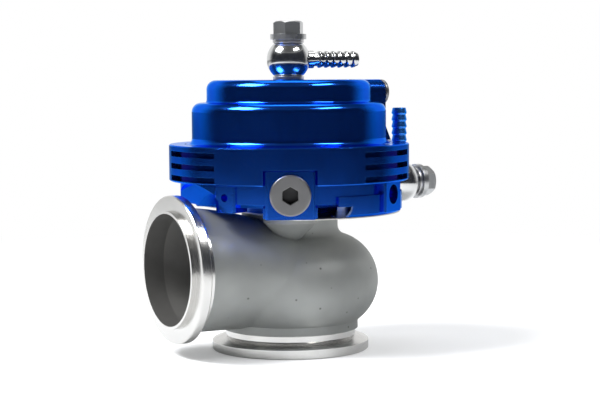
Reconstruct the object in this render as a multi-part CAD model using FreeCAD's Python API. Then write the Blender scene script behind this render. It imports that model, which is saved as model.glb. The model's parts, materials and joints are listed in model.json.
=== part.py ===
import FreeCAD, Part
import math
import os

V = FreeCAD.Vector
UP = V(0, 0, 1)

# A 44 mm external turbo wastegate, in millimetres.
# The origin is the centre of the inlet flange's bottom face. +Z is the valve axis and
# the outlet leaves along -X. Azimuths are degrees about Z, from -Y (0) towards +X (90).

# Inlet V-band flange, at the bottom of the casting
INLET_RIM_THICK = 4.1
INLET_RIM_WIDTH = 5.45
INLET_HUB_WALL = 4.7
INLET_HUB_TOP = 8.2
INLET_REGISTER_STEP = 2.4
INLET_REGISTER_DEPTH = 2.2
V_BAND_SLOPE = 20.0
EDGE_BREAK = 0.4
HEX_CHAMFER = 0.8
HEX_CHAMFER_WIDTH = 1.2

# Outlet V-band flange, on the side of the casting
OUTLET_FACE = 53.4
OUTLET_Z = 35.3
OUTLET_RIM_R = 29.46
OUTLET_RIM_THICK = 4.0
OUTLET_PIPE_R = 25.2
OUTLET_BORE_R = 22.4
OUTLET_LIP_R = 23.4
OUTLET_LIP = 2.0
OUTLET_HUB_TOP = 6.4
OUTLET_BORE_LENGTH = 6.4
CLAMP_R = 34.0
CLAMP_ROOM = 11.9

# Valve chamber and neck of the casting
CHAMBER_WIDENING = 14.2
CHAMBER_COLLAR_WALL = 5.8
CHAMBER_Z = 28.0
CHAMBER_ARC = 19.7
CHAMBER_WALL = 3.9
CHAMBER_FOOT_Z = 8.6
DUCT_ROOT_X = 14.0
DUCT_ROOT_R = 13.2
NECK_R = 19.7
NECK_BLEND = 4.0
DECK_Z = 56.2
GUIDE_BOSS_WALL = 3.0
CEILING_ANGLE = 72.0

# Mounting lugs and screws between the casting and the actuator
LUG_WIDTH = 21.0
LUG_REACH = 40.0
LUG_EDGE = 1.8
LUG_ROOT_WIDTH = 7.0
LUG_ROOT_REACH = 22.0
LUG_DEPTH = 10.2
SCREW_R = 2.5
SCREW_CIRCLE = 27.5
SCREW_SPREAD = 4.9
SCREW_GRIP = 4.2
SCREW_HEAD_R = 4.25
SCREW_HEAD = 2.8

# Valve, seat and guide
VALVE_HEAD_R = 22.0
VALVE_MARGIN = 1.5
VALVE_LAND = 1.6
VALVE_DISH_R = 16.0
VALVE_CROWN = 0.8
VALVE_LIFT = 11.0
STEM_R = 4.0
STEM_THREAD_R = 3.0
STEM_END = 1.5
TULIP_R = 4.3
SEAT_WALL = 2.6
SEAT_HEIGHT = 6.0
SEAT_Z = 17.5
GUIDE_WALL = 3.0
GUIDE_RISE = 8.0

# Heat shield plate
SHIELD_THICK = 0.6
SHIELD_OVERHANG = 0.6
SHIELD_CHORD = 20.4
SHIELD_CORNER = 5.0

# Actuator housing
CLOCK = -28.0
PORT_PITCH = 60.0
HUB_R = 19.6
HUB_HEIGHT = 4.0
FLOOR_THICK = 2.8
HOUSING_R = 44.5
HOUSING_WALL = 7.5
HOUSING_HEIGHT = 17.0
HOUSING_CHAMFER = 1.3
THREAD_STEP = 0.5
SKIRT_STEP = 1.5
SKIRT_HEIGHT = 8.0
SKIRT_WALL = 7.0
SKIRT_CHAMFER = 1.0
SKIRT_START = 24.0
SKIRT_END = 22.0
REAR_SKIRT_START = 36.0
REAR_SKIRT_END = 60.0
FOOT_R = 34.7
FOOT_OFFSET = 23.3
BUSH_WALL = 2.5
BUSH_LENGTH = 4.2
SEAL_WALL = 2.2
SEAL_HEIGHT = 2.3
PAD_STEP = 4.1
BOSS_WIDTH = 19.2
BOSS_CHAMFER = 0.8
BOSS_RISE = 5.7
PORT_RISE = 5.4
SIDE_PAD_STEP = 1.7
OPEN_PAD_STEP = 2.9
OPEN_PAD_WIDTH = 14.0
OPEN_PAD_LIFT = 1.0
OPEN_PORT_RISE = 3.8
OPEN_PORT_R = 3.9
OPEN_PORT_DEPTH = 7.0
PASSAGE_R = 2.4
TEST_PAD_AZIMUTH = -62.0
TEST_PAD_STEP = 1.1
TEST_PAD_WIDTH = 9.5
TEST_HOLE_R = 1.6
TEST_HOLE_DEPTH = 6.0
TEST_PAD_DROP = 2.0

# Locking collar
COLLAR_WALL = 3.95
COLLAR_HEIGHT = 14.7
COLLAR_OVERLAP = 8.3
COLLAR_LIP = 1.8
COLLAR_LIP_WIDTH = 6.4
FIN_SPREAD = 56.0
FIN_HALF_ANGLE = 19.5
FIN_GROOVES = 3
FIN_GROOVE = 2.2
FIN_GROOVE_DEPTH = 2.6
FIN_GROOVE_RISE = 0.7
FIN_PITCH = 4.8
GRUB_R = 1.5
GRUB_DROP = 3.8
GRUB_OFFSET = 8.0

# Diaphragm and its plates
DIAPHRAGM_THICK = 1.2
DIAPHRAGM_SLACK = 0.6
DIAPHRAGM_MARGIN = 1.2
DIAPHRAGM_ROLL = 2.2
DIAPHRAGM_ROOM = 0.6
PISTON_GAP = 7.5
PLATE_STEP = 1.5
PLATE_THICK = 1.5
PISTON_BASE = 2.0
PISTON_HEIGHT = 8.4
PISTON_WALL = 1.8
WASHER_R = 7.0
WASHER_THICK = 1.2
NUT_FLATS = 10.0
NUT_HEIGHT = 5.4

# Lid
LID_HEIGHT = 32.2
LID_LEDGE_DROP = 9.1
LID_FLANGE_MARGIN = 0.2
LID_LOWER_STEP = 3.0
LID_UPPER_STEP = 6.1
LID_SHOULDER = 3.7
LID_FLARE = 2.4
LID_LEDGE_BLEND = 1.0
LID_WALL = 2.8
LID_STEP_WALL = 3.7
LID_ROOF = 3.8
LID_PORT_DROP = 5.4
LID_BOSS_R = 5.3
LID_BOSS_STEP = 4.4
LID_PILLAR_FOOT = 2.6
LID_PILLAR_FOOT_HEIGHT = 6.0
LID_HUB_WALL = 4.0
LID_HUB = 8.5

# Banjo fittings
BANJO_THREAD_R = 5.0
BANJO_BALL_R = 8.8
BANJO_EYE = 13.6
BANJO_WASHER = 1.4
BANJO_WASHER_R = 6.35
BANJO_FLANGE_R = 7.35
BANJO_FLANGE = 2.1
BANJO_HEX_FLATS = 11.0
BANJO_HEX = 5.3
BANJO_SHANK = 9.0
BANJO_TIP_GAP = 1.0
BANJO_DUCT_R = 2.2
BARB_R = 3.45
BARB_ROOT_R = 2.75
BARB_PITCH = 2.9
BARB_RIDGES = 6
BARB_NECK_R = 3.6
BARB_START = 12.4
BARB_SHOULDER = 2.0
BARB_SUNK = 1.0
BARB_LIP = 0.5
BARB_BORE_R = 1.9
SIDE_BARB_R = 3.2
SIDE_BARB_RIDGES = 6
SIDE_BARB_START = 14.2
SIDE_SOCKET_R = 2.75
SIDE_SOCKET_X = 7.4
SIDE_NECK = 12.0
TOP_BARB_AZIMUTH = 80.0

# Port plugs
PLUG_THREAD_R = 6.0
PLUG_FLANGE_R = 7.9
PLUG_FLANGE = 2.0
PLUG_SHANK = 7.5
PLUG_SOCKET_FLATS = 6.0
PLUG_SOCKET_DEPTH = 3.6
PLUG_SEAL = 0.8
LID_PLUG_THREAD_R = 4.0
LID_PLUG_FLANGE_R = 5.2
LID_PLUG_FLANGE = 1.6
LID_PLUG_SHANK = 5.0
LID_PLUG_SOCKET_FLATS = 4.0
LID_PLUG_SOCKET_DEPTH = 2.4
LID_PLUG_SEAL = 0.6

# Springs: mean radius, wire radius and turns, from the outside in
SPRINGS = {"outer_spring": (24.0, 1.7, 4.5), "middle_spring": (18.6, 1.4, 5.0), "inner_spring": (13.4, 1.1, 6.0)}
WIRE_SIDES = 6
COIL_STEPS = 12

# The outlet pipe between flange and chamber: distance from the valve axis, height of its centre,
# half its width and half its height
PIPE_OVALS = (
    (36.0, 34.2, 26.6, 24.3),
    (24.0, 33.0, 29.2, 23.2),
    (13.0, 31.5, 32.0, 21.8),
    (0.0, 30.5, 28.0, 20.0),
)

# Clearances
FIT = 0.05
SEATED = 0.1
LOOSE = 0.3
NOTCH_GAP = 0.9
DRILL_PAST = 1.0
NEAR = 0.05

# Radii that follow from the sizes above
INLET_BORE_R = VALVE_HEAD_R
INLET_REGISTER_R = INLET_BORE_R + INLET_REGISTER_STEP
INLET_HUB_R = INLET_BORE_R + INLET_HUB_WALL
INLET_RIM_R = INLET_HUB_R + INLET_RIM_WIDTH
CHAMBER_R = VALVE_HEAD_R + CHAMBER_WIDENING
CHAMBER_COLLAR_R = INLET_BORE_R + CHAMBER_COLLAR_WALL
SEAT_R = VALVE_HEAD_R + SEAT_WALL
SEAT_BORE_R = VALVE_HEAD_R - VALVE_LAND
GUIDE_R = STEM_R + GUIDE_WALL
GUIDE_BOSS_R = GUIDE_R + GUIDE_BOSS_WALL
BUSH_R = STEM_R + BUSH_WALL
SEAL_R = STEM_R + SEAL_WALL
SHIELD_R = HOUSING_R + SHIELD_OVERHANG
BOWL_R = HOUSING_R - HOUSING_WALL
HOUSING_THREAD_R = HOUSING_R + THREAD_STEP
SKIRT_R = HOUSING_R + SKIRT_STEP
PAD_REACH = HOUSING_R + PAD_STEP
SIDE_PAD_REACH = HOUSING_R + SIDE_PAD_STEP
OPEN_PAD_REACH = HOUSING_R + OPEN_PAD_STEP
TEST_PAD_REACH = HOUSING_R + TEST_PAD_STEP
COLLAR_R = HOUSING_THREAD_R + FIT + COLLAR_WALL
COLLAR_LIP_R = COLLAR_R - COLLAR_LIP_WIDTH
DIAPHRAGM_R = HOUSING_THREAD_R - DIAPHRAGM_MARGIN
PISTON_R = BOWL_R - PISTON_GAP
PLATE_R = PISTON_R - PLATE_STEP
LID_FLANGE_R = HOUSING_THREAD_R - LID_FLANGE_MARGIN
LID_LOWER_R = COLLAR_LIP_R - LID_LOWER_STEP
LID_UPPER_R = LID_LOWER_R - LID_UPPER_STEP
LID_CAVITY_R = LID_LOWER_R - LID_WALL
LID_SPRING_R = LID_UPPER_R - LID_STEP_WALL
LID_BOSS_REACH = LID_LOWER_R + LID_BOSS_STEP
LID_HUB_R = BANJO_THREAD_R + LID_HUB_WALL

# Heights that follow from the sizes above
GUIDE_Z = CHAMBER_Z + GUIDE_RISE
SHIELD_TOP = DECK_Z + SHIELD_THICK
FLOOR_Z = SHIELD_TOP + HUB_HEIGHT
BOWL_FLOOR = FLOOR_Z + FLOOR_THICK
SKIRT_TOP = SHIELD_TOP + SKIRT_HEIGHT
PORT_Z = FLOOR_Z + PORT_RISE
OPEN_PORT_Z = FLOOR_Z + OPEN_PORT_RISE
CLAMP_Z = FLOOR_Z + HOUSING_HEIGHT
COLLAR_Z = CLAMP_Z - COLLAR_OVERLAP
COLLAR_TOP = COLLAR_Z + COLLAR_HEIGHT
COLLAR_LIP_Z = COLLAR_TOP - COLLAR_LIP
BOSS_TOP = COLLAR_Z + BOSS_RISE
GRUB_Z = COLLAR_TOP - GRUB_DROP
DISC_Z = CLAMP_Z + DIAPHRAGM_THICK - DIAPHRAGM_SLACK - VALVE_LIFT
PLATE_Z = DISC_Z - DIAPHRAGM_THICK - PLATE_THICK
SPRING_SEAT_Z = DISC_Z + PISTON_BASE
STEM_TOP = SPRING_SEAT_Z + WASHER_THICK + NUT_HEIGHT + STEM_END
LID_FLANGE_Z = CLAMP_Z + DIAPHRAGM_THICK
LID_TOP = CLAMP_Z + LID_HEIGHT
LID_LEDGE_Z = LID_TOP - LID_LEDGE_DROP
LID_STEP_Z = LID_LEDGE_Z - LID_WALL
LID_CEILING = LID_TOP - LID_ROOF
LID_PORT_Z = LID_TOP - LID_PORT_DROP

# Azimuths of the ports and of the collar's finned sections
SIDE_PORT = CLOCK + 2 * PORT_PITCH
OPEN_PORT = CLOCK + PORT_PITCH
REAR_PORT = CLOCK + 180
TALL_PORTS = {CLOCK: PAD_REACH, SIDE_PORT: SIDE_PAD_REACH, REAR_PORT: PAD_REACH}
FINS = (CLOCK - FIN_SPREAD, CLOCK + FIN_SPREAD, CLOCK - 2 * PORT_PITCH)
SKIRTS = (
    (CLOCK + SKIRT_START, SIDE_PORT + SKIRT_END),
    (REAR_PORT + REAR_SKIRT_START, REAR_PORT + REAR_SKIRT_END),
)


def heading(azimuth):
    """The level unit vector at an azimuth."""
    turn = math.radians(azimuth)
    return V(math.sin(turn), -math.cos(turn), 0)


def swing(shape, azimuth):
    """Turn a shape made along +X so that it points at an azimuth."""
    shape.rotate(V(0, 0, 0), UP, azimuth - 90)
    return shape


def on_arc(centre, radius, degrees):
    """The (r, z) point at an angle on an arc in the outline plane."""
    turn = math.radians(degrees)
    return (centre[0] + radius * math.cos(turn), centre[1] + radius * math.sin(turn))


def outline(start, *steps):
    """A face in the XZ plane. A step is an end point, or a (middle, end) pair for an arc."""
    here = V(start[0], 0, start[1])
    edges = []
    for step in steps:
        end = step
        if isinstance(step[0], tuple):
            end = step[1]
        there = V(end[0], 0, end[1])
        if end is step:
            edges.append(Part.makeLine(here, there))
        else:
            edges.append(Part.Arc(here, V(step[0][0], 0, step[0][1]), there).toShape())
        here = there
    edges.append(Part.makeLine(here, V(start[0], 0, start[1])))
    return Part.Face(Part.Wire(edges))


def turned(start, *steps):
    """A solid of revolution about Z from an outline in (r, z)."""
    return outline(start, *steps).revolve(V(0, 0, 0), UP, 360)


def rod(radius, low, high):
    """A cylinder on the Z axis between two heights."""
    return Part.makeCylinder(radius, high - low, V(0, 0, low))


def ring(outer, inner, low, high):
    """A plain ring on the Z axis."""
    return rod(outer, low, high).cut(rod(inner, low, high))


def sector(outer, inner, low, high, first, last):
    """A piece of a ring between two azimuths."""
    sweep = last - first
    wedge = Part.makeCylinder(outer, high - low, V(0, 0, low), UP, sweep)
    wedge = wedge.cut(rod(inner, low, high))
    wedge.rotate(V(0, 0, 0), UP, first - 90)
    return wedge


def block(near, far, width, low, high, azimuth):
    """A radial block from one distance to another, centred on an azimuth."""
    return swing(Part.makeBox(far - near, width, high - low, V(near, -width / 2, low)), azimuth)


def drill(radius, near, far, height, azimuth):
    """A radial cylinder from one distance to another."""
    return swing(Part.makeCylinder(radius, far - near, V(near, 0, height), V(1, 0, 0)), azimuth)


def hexagon(flats, low, high):
    """A six-sided prism on the Z axis."""
    corner = flats / math.sqrt(3)
    points = [V(*on_arc((0, 0), corner, 60 * side), low) for side in range(7)]
    return Part.Face(Part.makePolygon(points)).extrude(V(0, 0, high - low))


def hex_head(flats, low, high):
    """A hexagon on the Z axis with the corners of its upper face turned off."""
    corner = flats / math.sqrt(3)
    shoulder = (corner, high - HEX_CHAMFER)
    crown = turned((0, low), (corner, low), shoulder, (corner - HEX_CHAMFER_WIDTH, high), (0, high))
    return hexagon(flats, low, high).common(crown)


def stand(shape, base, along, toward):
    """Move a shape made on the Z axis so that its Z runs along one way and its X toward another."""
    side = along.cross(toward)
    shape.Placement = FreeCAD.Placement(base, FreeCAD.Rotation(toward, side, along, "ZXY"))
    return shape


def v_band(rim_r, rim_thick, hub_r, hub_top, bore_r):
    """A V-band flange about Z, its sealing face at height 0."""
    slope = (rim_r - hub_r) * math.tan(math.radians(V_BAND_SLOPE))
    return turned(
        (bore_r, 0),
        (rim_r - EDGE_BREAK, 0),
        (rim_r, EDGE_BREAK),
        (rim_r, rim_thick - EDGE_BREAK),
        (rim_r - EDGE_BREAK, rim_thick),
        (hub_r, rim_thick + slope),
        (hub_r, hub_top),
        (bore_r, hub_top),
    )


def chamber_outside():
    """The dome and neck of the casting as one turned solid, with a round where they meet."""
    centre = (CHAMBER_R - CHAMBER_ARC, CHAMBER_Z)
    reach = CHAMBER_ARC + NECK_BLEND
    across = NECK_R + NECK_BLEND - centre[0]
    crown = math.degrees(math.acos(across / reach))
    foot = -math.degrees(math.asin((CHAMBER_Z - CHAMBER_FOOT_Z) / CHAMBER_ARC))
    blend = on_arc(centre, reach, crown)
    return turned(
        (0, CHAMBER_FOOT_Z),
        on_arc(centre, CHAMBER_ARC, foot),
        (on_arc(centre, CHAMBER_ARC, 0), on_arc(centre, CHAMBER_ARC, crown)),
        (on_arc(blend, NECK_BLEND, 180 + crown / 2), (NECK_R, blend[1])),
        (NECK_R, DECK_Z),
        (0, DECK_Z),
    )


def chamber_collar():
    """The short cast collar between the inlet flange and the dome."""
    across = CHAMBER_COLLAR_R - (CHAMBER_R - CHAMBER_ARC)
    meets_dome = CHAMBER_Z - math.sqrt(CHAMBER_ARC ** 2 - across ** 2)
    return turned(
        (0, INLET_RIM_THICK),
        (INLET_HUB_R, INLET_RIM_THICK),
        (INLET_HUB_R, INLET_HUB_TOP),
        (CHAMBER_COLLAR_R, INLET_HUB_TOP + EDGE_BREAK),
        (CHAMBER_COLLAR_R, meets_dome),
        (0, meets_dome),
    )


def chamber_inside():
    """The valve chamber's hollow, from the seat's top to the ceiling."""
    centre = (CHAMBER_R - CHAMBER_ARC, CHAMBER_Z)
    radius = CHAMBER_ARC - CHAMBER_WALL
    floor_angle = -math.degrees(math.asin((CHAMBER_Z - SEAT_Z) / radius))
    ceiling = on_arc(centre, radius, CEILING_ANGLE)
    return turned(
        (0, SEAT_Z),
        on_arc(centre, radius, floor_angle),
        (on_arc(centre, radius, 0), ceiling),
        (0, ceiling[1]),
    )


def upright_oval(away, z, half_width, half_height):
    """An oval wire across the outlet, a distance from the valve axis and centred at a height."""
    oval = Part.Ellipse(V(-away, half_width, z), V(-away, 0, z + half_height), V(-away, 0, z))
    return Part.Wire(oval.toShape())


def outlet_pipe():
    """The outlet pipe: round at the flange and flared where it grows into the chamber."""
    mouth = upright_oval(OUTLET_FACE - OUTLET_RIM_THICK / 2, OUTLET_Z, OUTLET_PIPE_R + FIT, OUTLET_PIPE_R)
    return Part.makeLoft([mouth] + [upright_oval(*sizes) for sizes in PIPE_OVALS], True, False)


def outlet_duct():
    """The passage inside the outlet pipe: round at the flange, smaller and lower at the chamber."""
    root_z = SEAT_Z + DUCT_ROOT_R + FIT
    mouth = Part.makeCircle(OUTLET_BORE_R, V(-OUTLET_FACE + OUTLET_BORE_LENGTH, 0, OUTLET_Z), V(1, 0, 0))
    root = Part.makeCircle(DUCT_ROOT_R, V(-DUCT_ROOT_X, 0, root_z), V(1, 0, 0))
    taper = Part.makeLoft([Part.Wire(mouth), Part.Wire(root)], True, True)
    bore_start = V(-OUTLET_FACE - OUTLET_LIP, 0, OUTLET_Z)
    bore = Part.makeCylinder(OUTLET_BORE_R, OUTLET_LIP + OUTLET_BORE_LENGTH, bore_start, V(1, 0, 0))
    return bore.fuse(taper)


def outlet_flange():
    """The outlet V-band flange, with the raised lip that centres the mating pipe."""
    flange = v_band(OUTLET_RIM_R, OUTLET_RIM_THICK, OUTLET_PIPE_R, OUTLET_HUB_TOP, OUTLET_BORE_R)
    lip = ring(OUTLET_LIP_R, OUTLET_BORE_R, -OUTLET_LIP, OUTLET_RIM_THICK)
    return stand(flange.fuse(lip), V(-OUTLET_FACE, 0, OUTLET_Z), V(1, 0, 0), UP)


def lug_outline(half, reach, height):
    """A lug's outline at one height: straight sides from the valve axis and a rounded tip."""
    tip = V(reach, 0, height)
    near = V(reach - half, -half, height)
    far = V(reach - half, half, height)
    start = V(0, -half, height)
    end = V(0, half, height)
    round_tip = Part.Arc(near, tip, far).toShape()
    return Part.Wire([Part.makeLine(start, near), round_tip, Part.makeLine(far, end), Part.makeLine(end, start)])


def lug(azimuth):
    """A flared mounting lug under the deck, deep and narrow at the neck and thin at its tip."""
    half = LUG_WIDTH / 2
    root = LUG_ROOT_WIDTH / 2
    edge_z = DECK_Z - LUG_EDGE
    sections = [lug_outline(root, LUG_ROOT_REACH, DECK_Z - LUG_DEPTH), lug_outline(half, LUG_REACH, edge_z)]
    flare = Part.makeLoft(sections, True, True)
    slab = Part.Face(lug_outline(half, LUG_REACH, edge_z)).extrude(V(0, 0, LUG_EDGE))
    return swing(flare.fuse(slab), azimuth)


def screw_places():
    """The four screw axes: two beside each lug's centre line."""
    places = []
    for azimuth in (CLOCK, REAR_PORT):
        for side in (-1, 1):
            places.append(heading(azimuth) * SCREW_CIRCLE + heading(azimuth + 90) * (side * SCREW_SPREAD))
    return places


def at_screws(radius, low, high):
    """Upright cylinders on the four screw axes."""
    return Part.makeCompound([Part.makeCylinder(radius, high - low, V(p.x, p.y, low)) for p in screw_places()])


def valve_body():
    """The cast body: both V-band flanges, the valve chamber, the outlet pipe, the neck and the lugs."""
    shell = chamber_outside().fuse(outlet_pipe())
    inlet = v_band(INLET_RIM_R, INLET_RIM_THICK, INLET_HUB_R, INLET_HUB_TOP, INLET_BORE_R)
    shell = shell.fuse([chamber_collar(), inlet, outlet_flange(), lug(CLOCK), lug(REAR_PORT)])
    hollow = chamber_inside().fuse(outlet_duct())
    hollow = hollow.cut(rod(GUIDE_BOSS_R, GUIDE_Z, DECK_Z))
    shell = shell.cut(hollow)
    for bore in (
        rod(INLET_REGISTER_R, 0, INLET_REGISTER_DEPTH),
        rod(INLET_BORE_R, 0, SEAT_Z),
        rod(SEAT_R + FIT, SEAT_Z - SEAT_HEIGHT, SEAT_Z),
        rod(GUIDE_R + FIT, GUIDE_Z, DECK_Z),
        at_screws(SCREW_R + FIT, DECK_Z - SCREW_GRIP - LOOSE, DECK_Z),
    ):
        shell = shell.cut(bore)
    return shell


def valve_seat():
    """The hard seat ring, with its 45 degree face."""
    face_top_r = VALVE_HEAD_R - FIT
    return turned(
        (SEAT_BORE_R, SEAT_Z - SEAT_HEIGHT),
        (SEAT_R, SEAT_Z - SEAT_HEIGHT),
        (SEAT_R, SEAT_Z),
        (face_top_r, SEAT_Z),
        (SEAT_BORE_R, SEAT_Z - (face_top_r - SEAT_BORE_R)),
    )


def valve():
    """The poppet valve: head, conical face, tulip, stem and the thread at its top."""
    face_z = SEAT_Z + SEATED
    head_top = face_z + VALVE_MARGIN
    tulip = (STEM_R + TULIP_R, head_top + TULIP_R + VALVE_CROWN)
    return turned(
        (0, face_z - VALVE_LAND - VALVE_MARGIN),
        (VALVE_DISH_R, face_z - VALVE_LAND - VALVE_MARGIN),
        (VALVE_HEAD_R - VALVE_LAND, face_z - VALVE_LAND - VALVE_MARGIN / 2),
        (VALVE_HEAD_R - VALVE_LAND, face_z - VALVE_LAND),
        (VALVE_HEAD_R, face_z),
        (VALVE_HEAD_R, head_top),
        on_arc(tulip, TULIP_R, 270),
        (on_arc(tulip, TULIP_R, 225), on_arc(tulip, TULIP_R, 180)),
        (STEM_R, PLATE_Z),
        (STEM_THREAD_R, PLATE_Z),
        (STEM_THREAD_R, STEM_TOP - EDGE_BREAK),
        (STEM_THREAD_R - EDGE_BREAK, STEM_TOP),
        (0, STEM_TOP),
    )


def valve_guide():
    """The bronze bush that guides the stem through the neck."""
    return ring(GUIDE_R, STEM_R + FIT, GUIDE_Z, DECK_Z)


def heat_shield():
    """The thin plate on the casting's deck, cut straight beside the outlet pipe."""
    plate = rod(SHIELD_R, DECK_Z, SHIELD_TOP).cut(beyond_chord(DECK_Z, SHIELD_TOP))
    corners = [e for e in plate.Edges if abs(e.BoundBox.ZLength - SHIELD_THICK) < NEAR
               and abs(e.CenterOfMass.x + SHIELD_CHORD) < NEAR]
    plate = plate.makeFillet(SHIELD_CORNER, corners)
    plate = plate.cut(rod(GUIDE_R + LOOSE, DECK_Z, SHIELD_TOP))
    return plate.cut(at_screws(SCREW_R + LOOSE, DECK_Z, SHIELD_TOP))


def mounting_screws():
    """Four low-head socket screws that hold the actuator housing on the casting."""
    seat = FLOOR_Z
    socket = SCREW_HEAD / 2
    screws = []
    for place in screw_places():
        head = rod(SCREW_HEAD_R, seat, seat + SCREW_HEAD)
        head = head.cut(hexagon(SCREW_R, seat + SCREW_HEAD - socket, seat + SCREW_HEAD))
        screw = head.fuse(rod(SCREW_R, DECK_Z - SCREW_GRIP, seat))
        screw.translate(V(place.x, place.y, 0))
        screws.append(screw)
    return Part.makeCompound(screws)


def port_bore(thread_r, depth, face, height, azimuth, inner):
    """A port: a threaded hole from its pad, then a narrow passage into the bowl or lid."""
    hole = drill(thread_r, face - depth, face + DRILL_PAST, height, azimuth)
    return hole.fuse(drill(PASSAGE_R, inner, face, height, azimuth))


def beyond_chord(low, high):
    """The space past the heat shield's straight edge, where nothing of the actuator reaches down."""
    reach = COLLAR_R
    return Part.makeBox(reach, 2 * reach, high - low, V(-SHIELD_CHORD - reach, -reach, low))


def skirt(first, last):
    """A wall that stands on the heat shield between two azimuths, chamfered at its foot."""
    inner = SKIRT_R - SKIRT_WALL
    wall = outline(
        (inner, SHIELD_TOP),
        (SKIRT_R - SKIRT_CHAMFER, SHIELD_TOP),
        (SKIRT_R, SHIELD_TOP + SKIRT_CHAMFER),
        (SKIRT_R, SKIRT_TOP),
        (inner, SKIRT_TOP),
    ).revolve(V(0, 0, 0), UP, last - first)
    wall.rotate(V(0, 0, 0), UP, first - 90)
    return wall


def boss(near, reach, width, low, high, azimuth):
    """A port boss with its two outer upright edges chamfered."""
    body = block(near, reach, width, low, high, 90)
    upright = [e for e in body.Edges if e.BoundBox.ZLength > NEAR and e.CenterOfMass.x > reach - NEAR]
    return swing(body.makeChamfer(BOSS_CHAMFER, upright), azimuth)


def actuator_housing():
    """The lower actuator housing: bowl, hub, port bosses and the walls and foot that stand on the deck."""
    body = turned(
        (0, SHIELD_TOP),
        (HUB_R, SHIELD_TOP),
        (HUB_R, FLOOR_Z),
        (HOUSING_R - HOUSING_CHAMFER, FLOOR_Z),
        (HOUSING_R, FLOOR_Z + HOUSING_CHAMFER),
        (HOUSING_R, COLLAR_Z),
        (HOUSING_THREAD_R, COLLAR_Z),
        (HOUSING_THREAD_R, CLAMP_Z),
        (0, CLAMP_Z),
    )
    clear_z = COLLAR_Z - LOOSE
    pieces = []
    for azimuth, reach in TALL_PORTS.items():
        pieces.append(boss(BOWL_R, reach, BOSS_WIDTH, SHIELD_TOP, BOSS_TOP, azimuth))
    for azimuth in (CLOCK, REAR_PORT):
        pieces.append(block(0, HOUSING_R - HOUSING_CHAMFER, LUG_WIDTH, SHIELD_TOP, FLOOR_Z, azimuth))
    for first, last in SKIRTS:
        pieces.append(skirt(first, last))
    foot = block(FOOT_OFFSET, FOOT_R, 2 * FOOT_R, SHIELD_TOP, FLOOR_Z, CLOCK - 90)
    foot = foot.common(rod(FOOT_R, SHIELD_TOP, FLOOR_Z)).cut(beyond_chord(SHIELD_TOP, FLOOR_Z))
    pieces.append(max(foot.Solids, key=lambda solid: solid.BoundBox.YMax))
    pieces.append(boss(BOWL_R, OPEN_PAD_REACH, OPEN_PAD_WIDTH, SHIELD_TOP + OPEN_PAD_LIFT, clear_z, OPEN_PORT))
    test_z = FLOOR_Z - TEST_PAD_DROP
    pieces.append(boss(BOWL_R, TEST_PAD_REACH, TEST_PAD_WIDTH, test_z, clear_z, TEST_PAD_AZIMUTH))
    body = body.fuse(pieces).removeSplitter()
    cuts = [rod(BOWL_R, BOWL_FLOOR, CLAMP_Z), rod(STEM_R + LOOSE, SHIELD_TOP, BOWL_FLOOR)]
    cuts.append(rod(BUSH_R + FIT, BOWL_FLOOR - BUSH_LENGTH, BOWL_FLOOR))
    cuts.append(rod(SEAL_R, SHIELD_TOP, SHIELD_TOP + SEAL_HEIGHT))
    cuts.append(at_screws(SCREW_R + LOOSE, SHIELD_TOP, FLOOR_Z))
    cuts.append(at_screws(SCREW_HEAD_R + LOOSE, FLOOR_Z, CLAMP_Z))
    inner = BOWL_R - DRILL_PAST
    for azimuth in (CLOCK, REAR_PORT):
        cuts.append(port_bore(PLUG_THREAD_R + FIT, PLUG_SHANK + DRILL_PAST, PAD_REACH, PORT_Z, azimuth, inner))
    cuts.append(port_bore(BANJO_THREAD_R + FIT, BANJO_SHANK, SIDE_PAD_REACH, PORT_Z, SIDE_PORT, inner))
    cuts.append(port_bore(OPEN_PORT_R, OPEN_PORT_DEPTH, OPEN_PAD_REACH, OPEN_PORT_Z, OPEN_PORT, inner))
    test_end = TEST_PAD_REACH + DRILL_PAST
    cuts.append(drill(TEST_HOLE_R, TEST_PAD_REACH - TEST_HOLE_DEPTH, test_end, OPEN_PORT_Z, TEST_PAD_AZIMUTH))
    edge = CLAMP_ROOM - OUTLET_FACE
    cuts.append(Part.makeCylinder(CLAMP_R, OUTLET_FACE, V(edge, 0, OUTLET_Z), V(-1, 0, 0)))
    for tool in cuts:
        body = body.cut(tool)
    return body


def stem_bushing():
    """The flat-topped bush that guides the stem through the housing floor."""
    return ring(BUSH_R, STEM_R + FIT, BOWL_FLOOR - BUSH_LENGTH, BOWL_FLOOR)


def stem_seal():
    """The seal ring under the bushing, rounded like a pressed O-ring."""
    width = SEAL_R - STEM_R - 3 * FIT
    centre = V(STEM_R + 2 * FIT + width / 2, 0, SHIELD_TOP + SEAL_HEIGHT / 2)
    circle = Part.makeCircle(min(width / 2, SEAL_HEIGHT / 2 - FIT), centre, V(0, 1, 0))
    return Part.Face(Part.Wire(circle)).revolve(V(0, 0, 0), UP, 360)


def diaphragm():
    """The rolling diaphragm, drawn down at its centre while the valve is shut."""
    rim = CLAMP_Z
    under = DISC_Z - DIAPHRAGM_THICK
    wall_low = PISTON_R + DIAPHRAGM_ROLL
    wall_high = BOWL_R - DIAPHRAGM_ROOM
    return turned(
        (STEM_THREAD_R + FIT, under),
        (wall_low, under),
        (wall_high, rim),
        (DIAPHRAGM_R, rim),
        (DIAPHRAGM_R, rim + DIAPHRAGM_THICK),
        (wall_high - DIAPHRAGM_THICK, rim + DIAPHRAGM_THICK),
        (wall_low - DIAPHRAGM_THICK, DISC_Z),
        (STEM_THREAD_R + FIT, DISC_Z),
    )


def lower_plate():
    """The plate under the diaphragm, on the stem's shoulder."""
    return turned(
        (STEM_THREAD_R + FIT, PLATE_Z),
        (PLATE_R - PLATE_THICK, PLATE_Z),
        (PLATE_R, PLATE_Z + PLATE_THICK / 2),
        (PLATE_R, PLATE_Z + PLATE_THICK),
        (STEM_THREAD_R + FIT, PLATE_Z + PLATE_THICK),
    )


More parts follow.
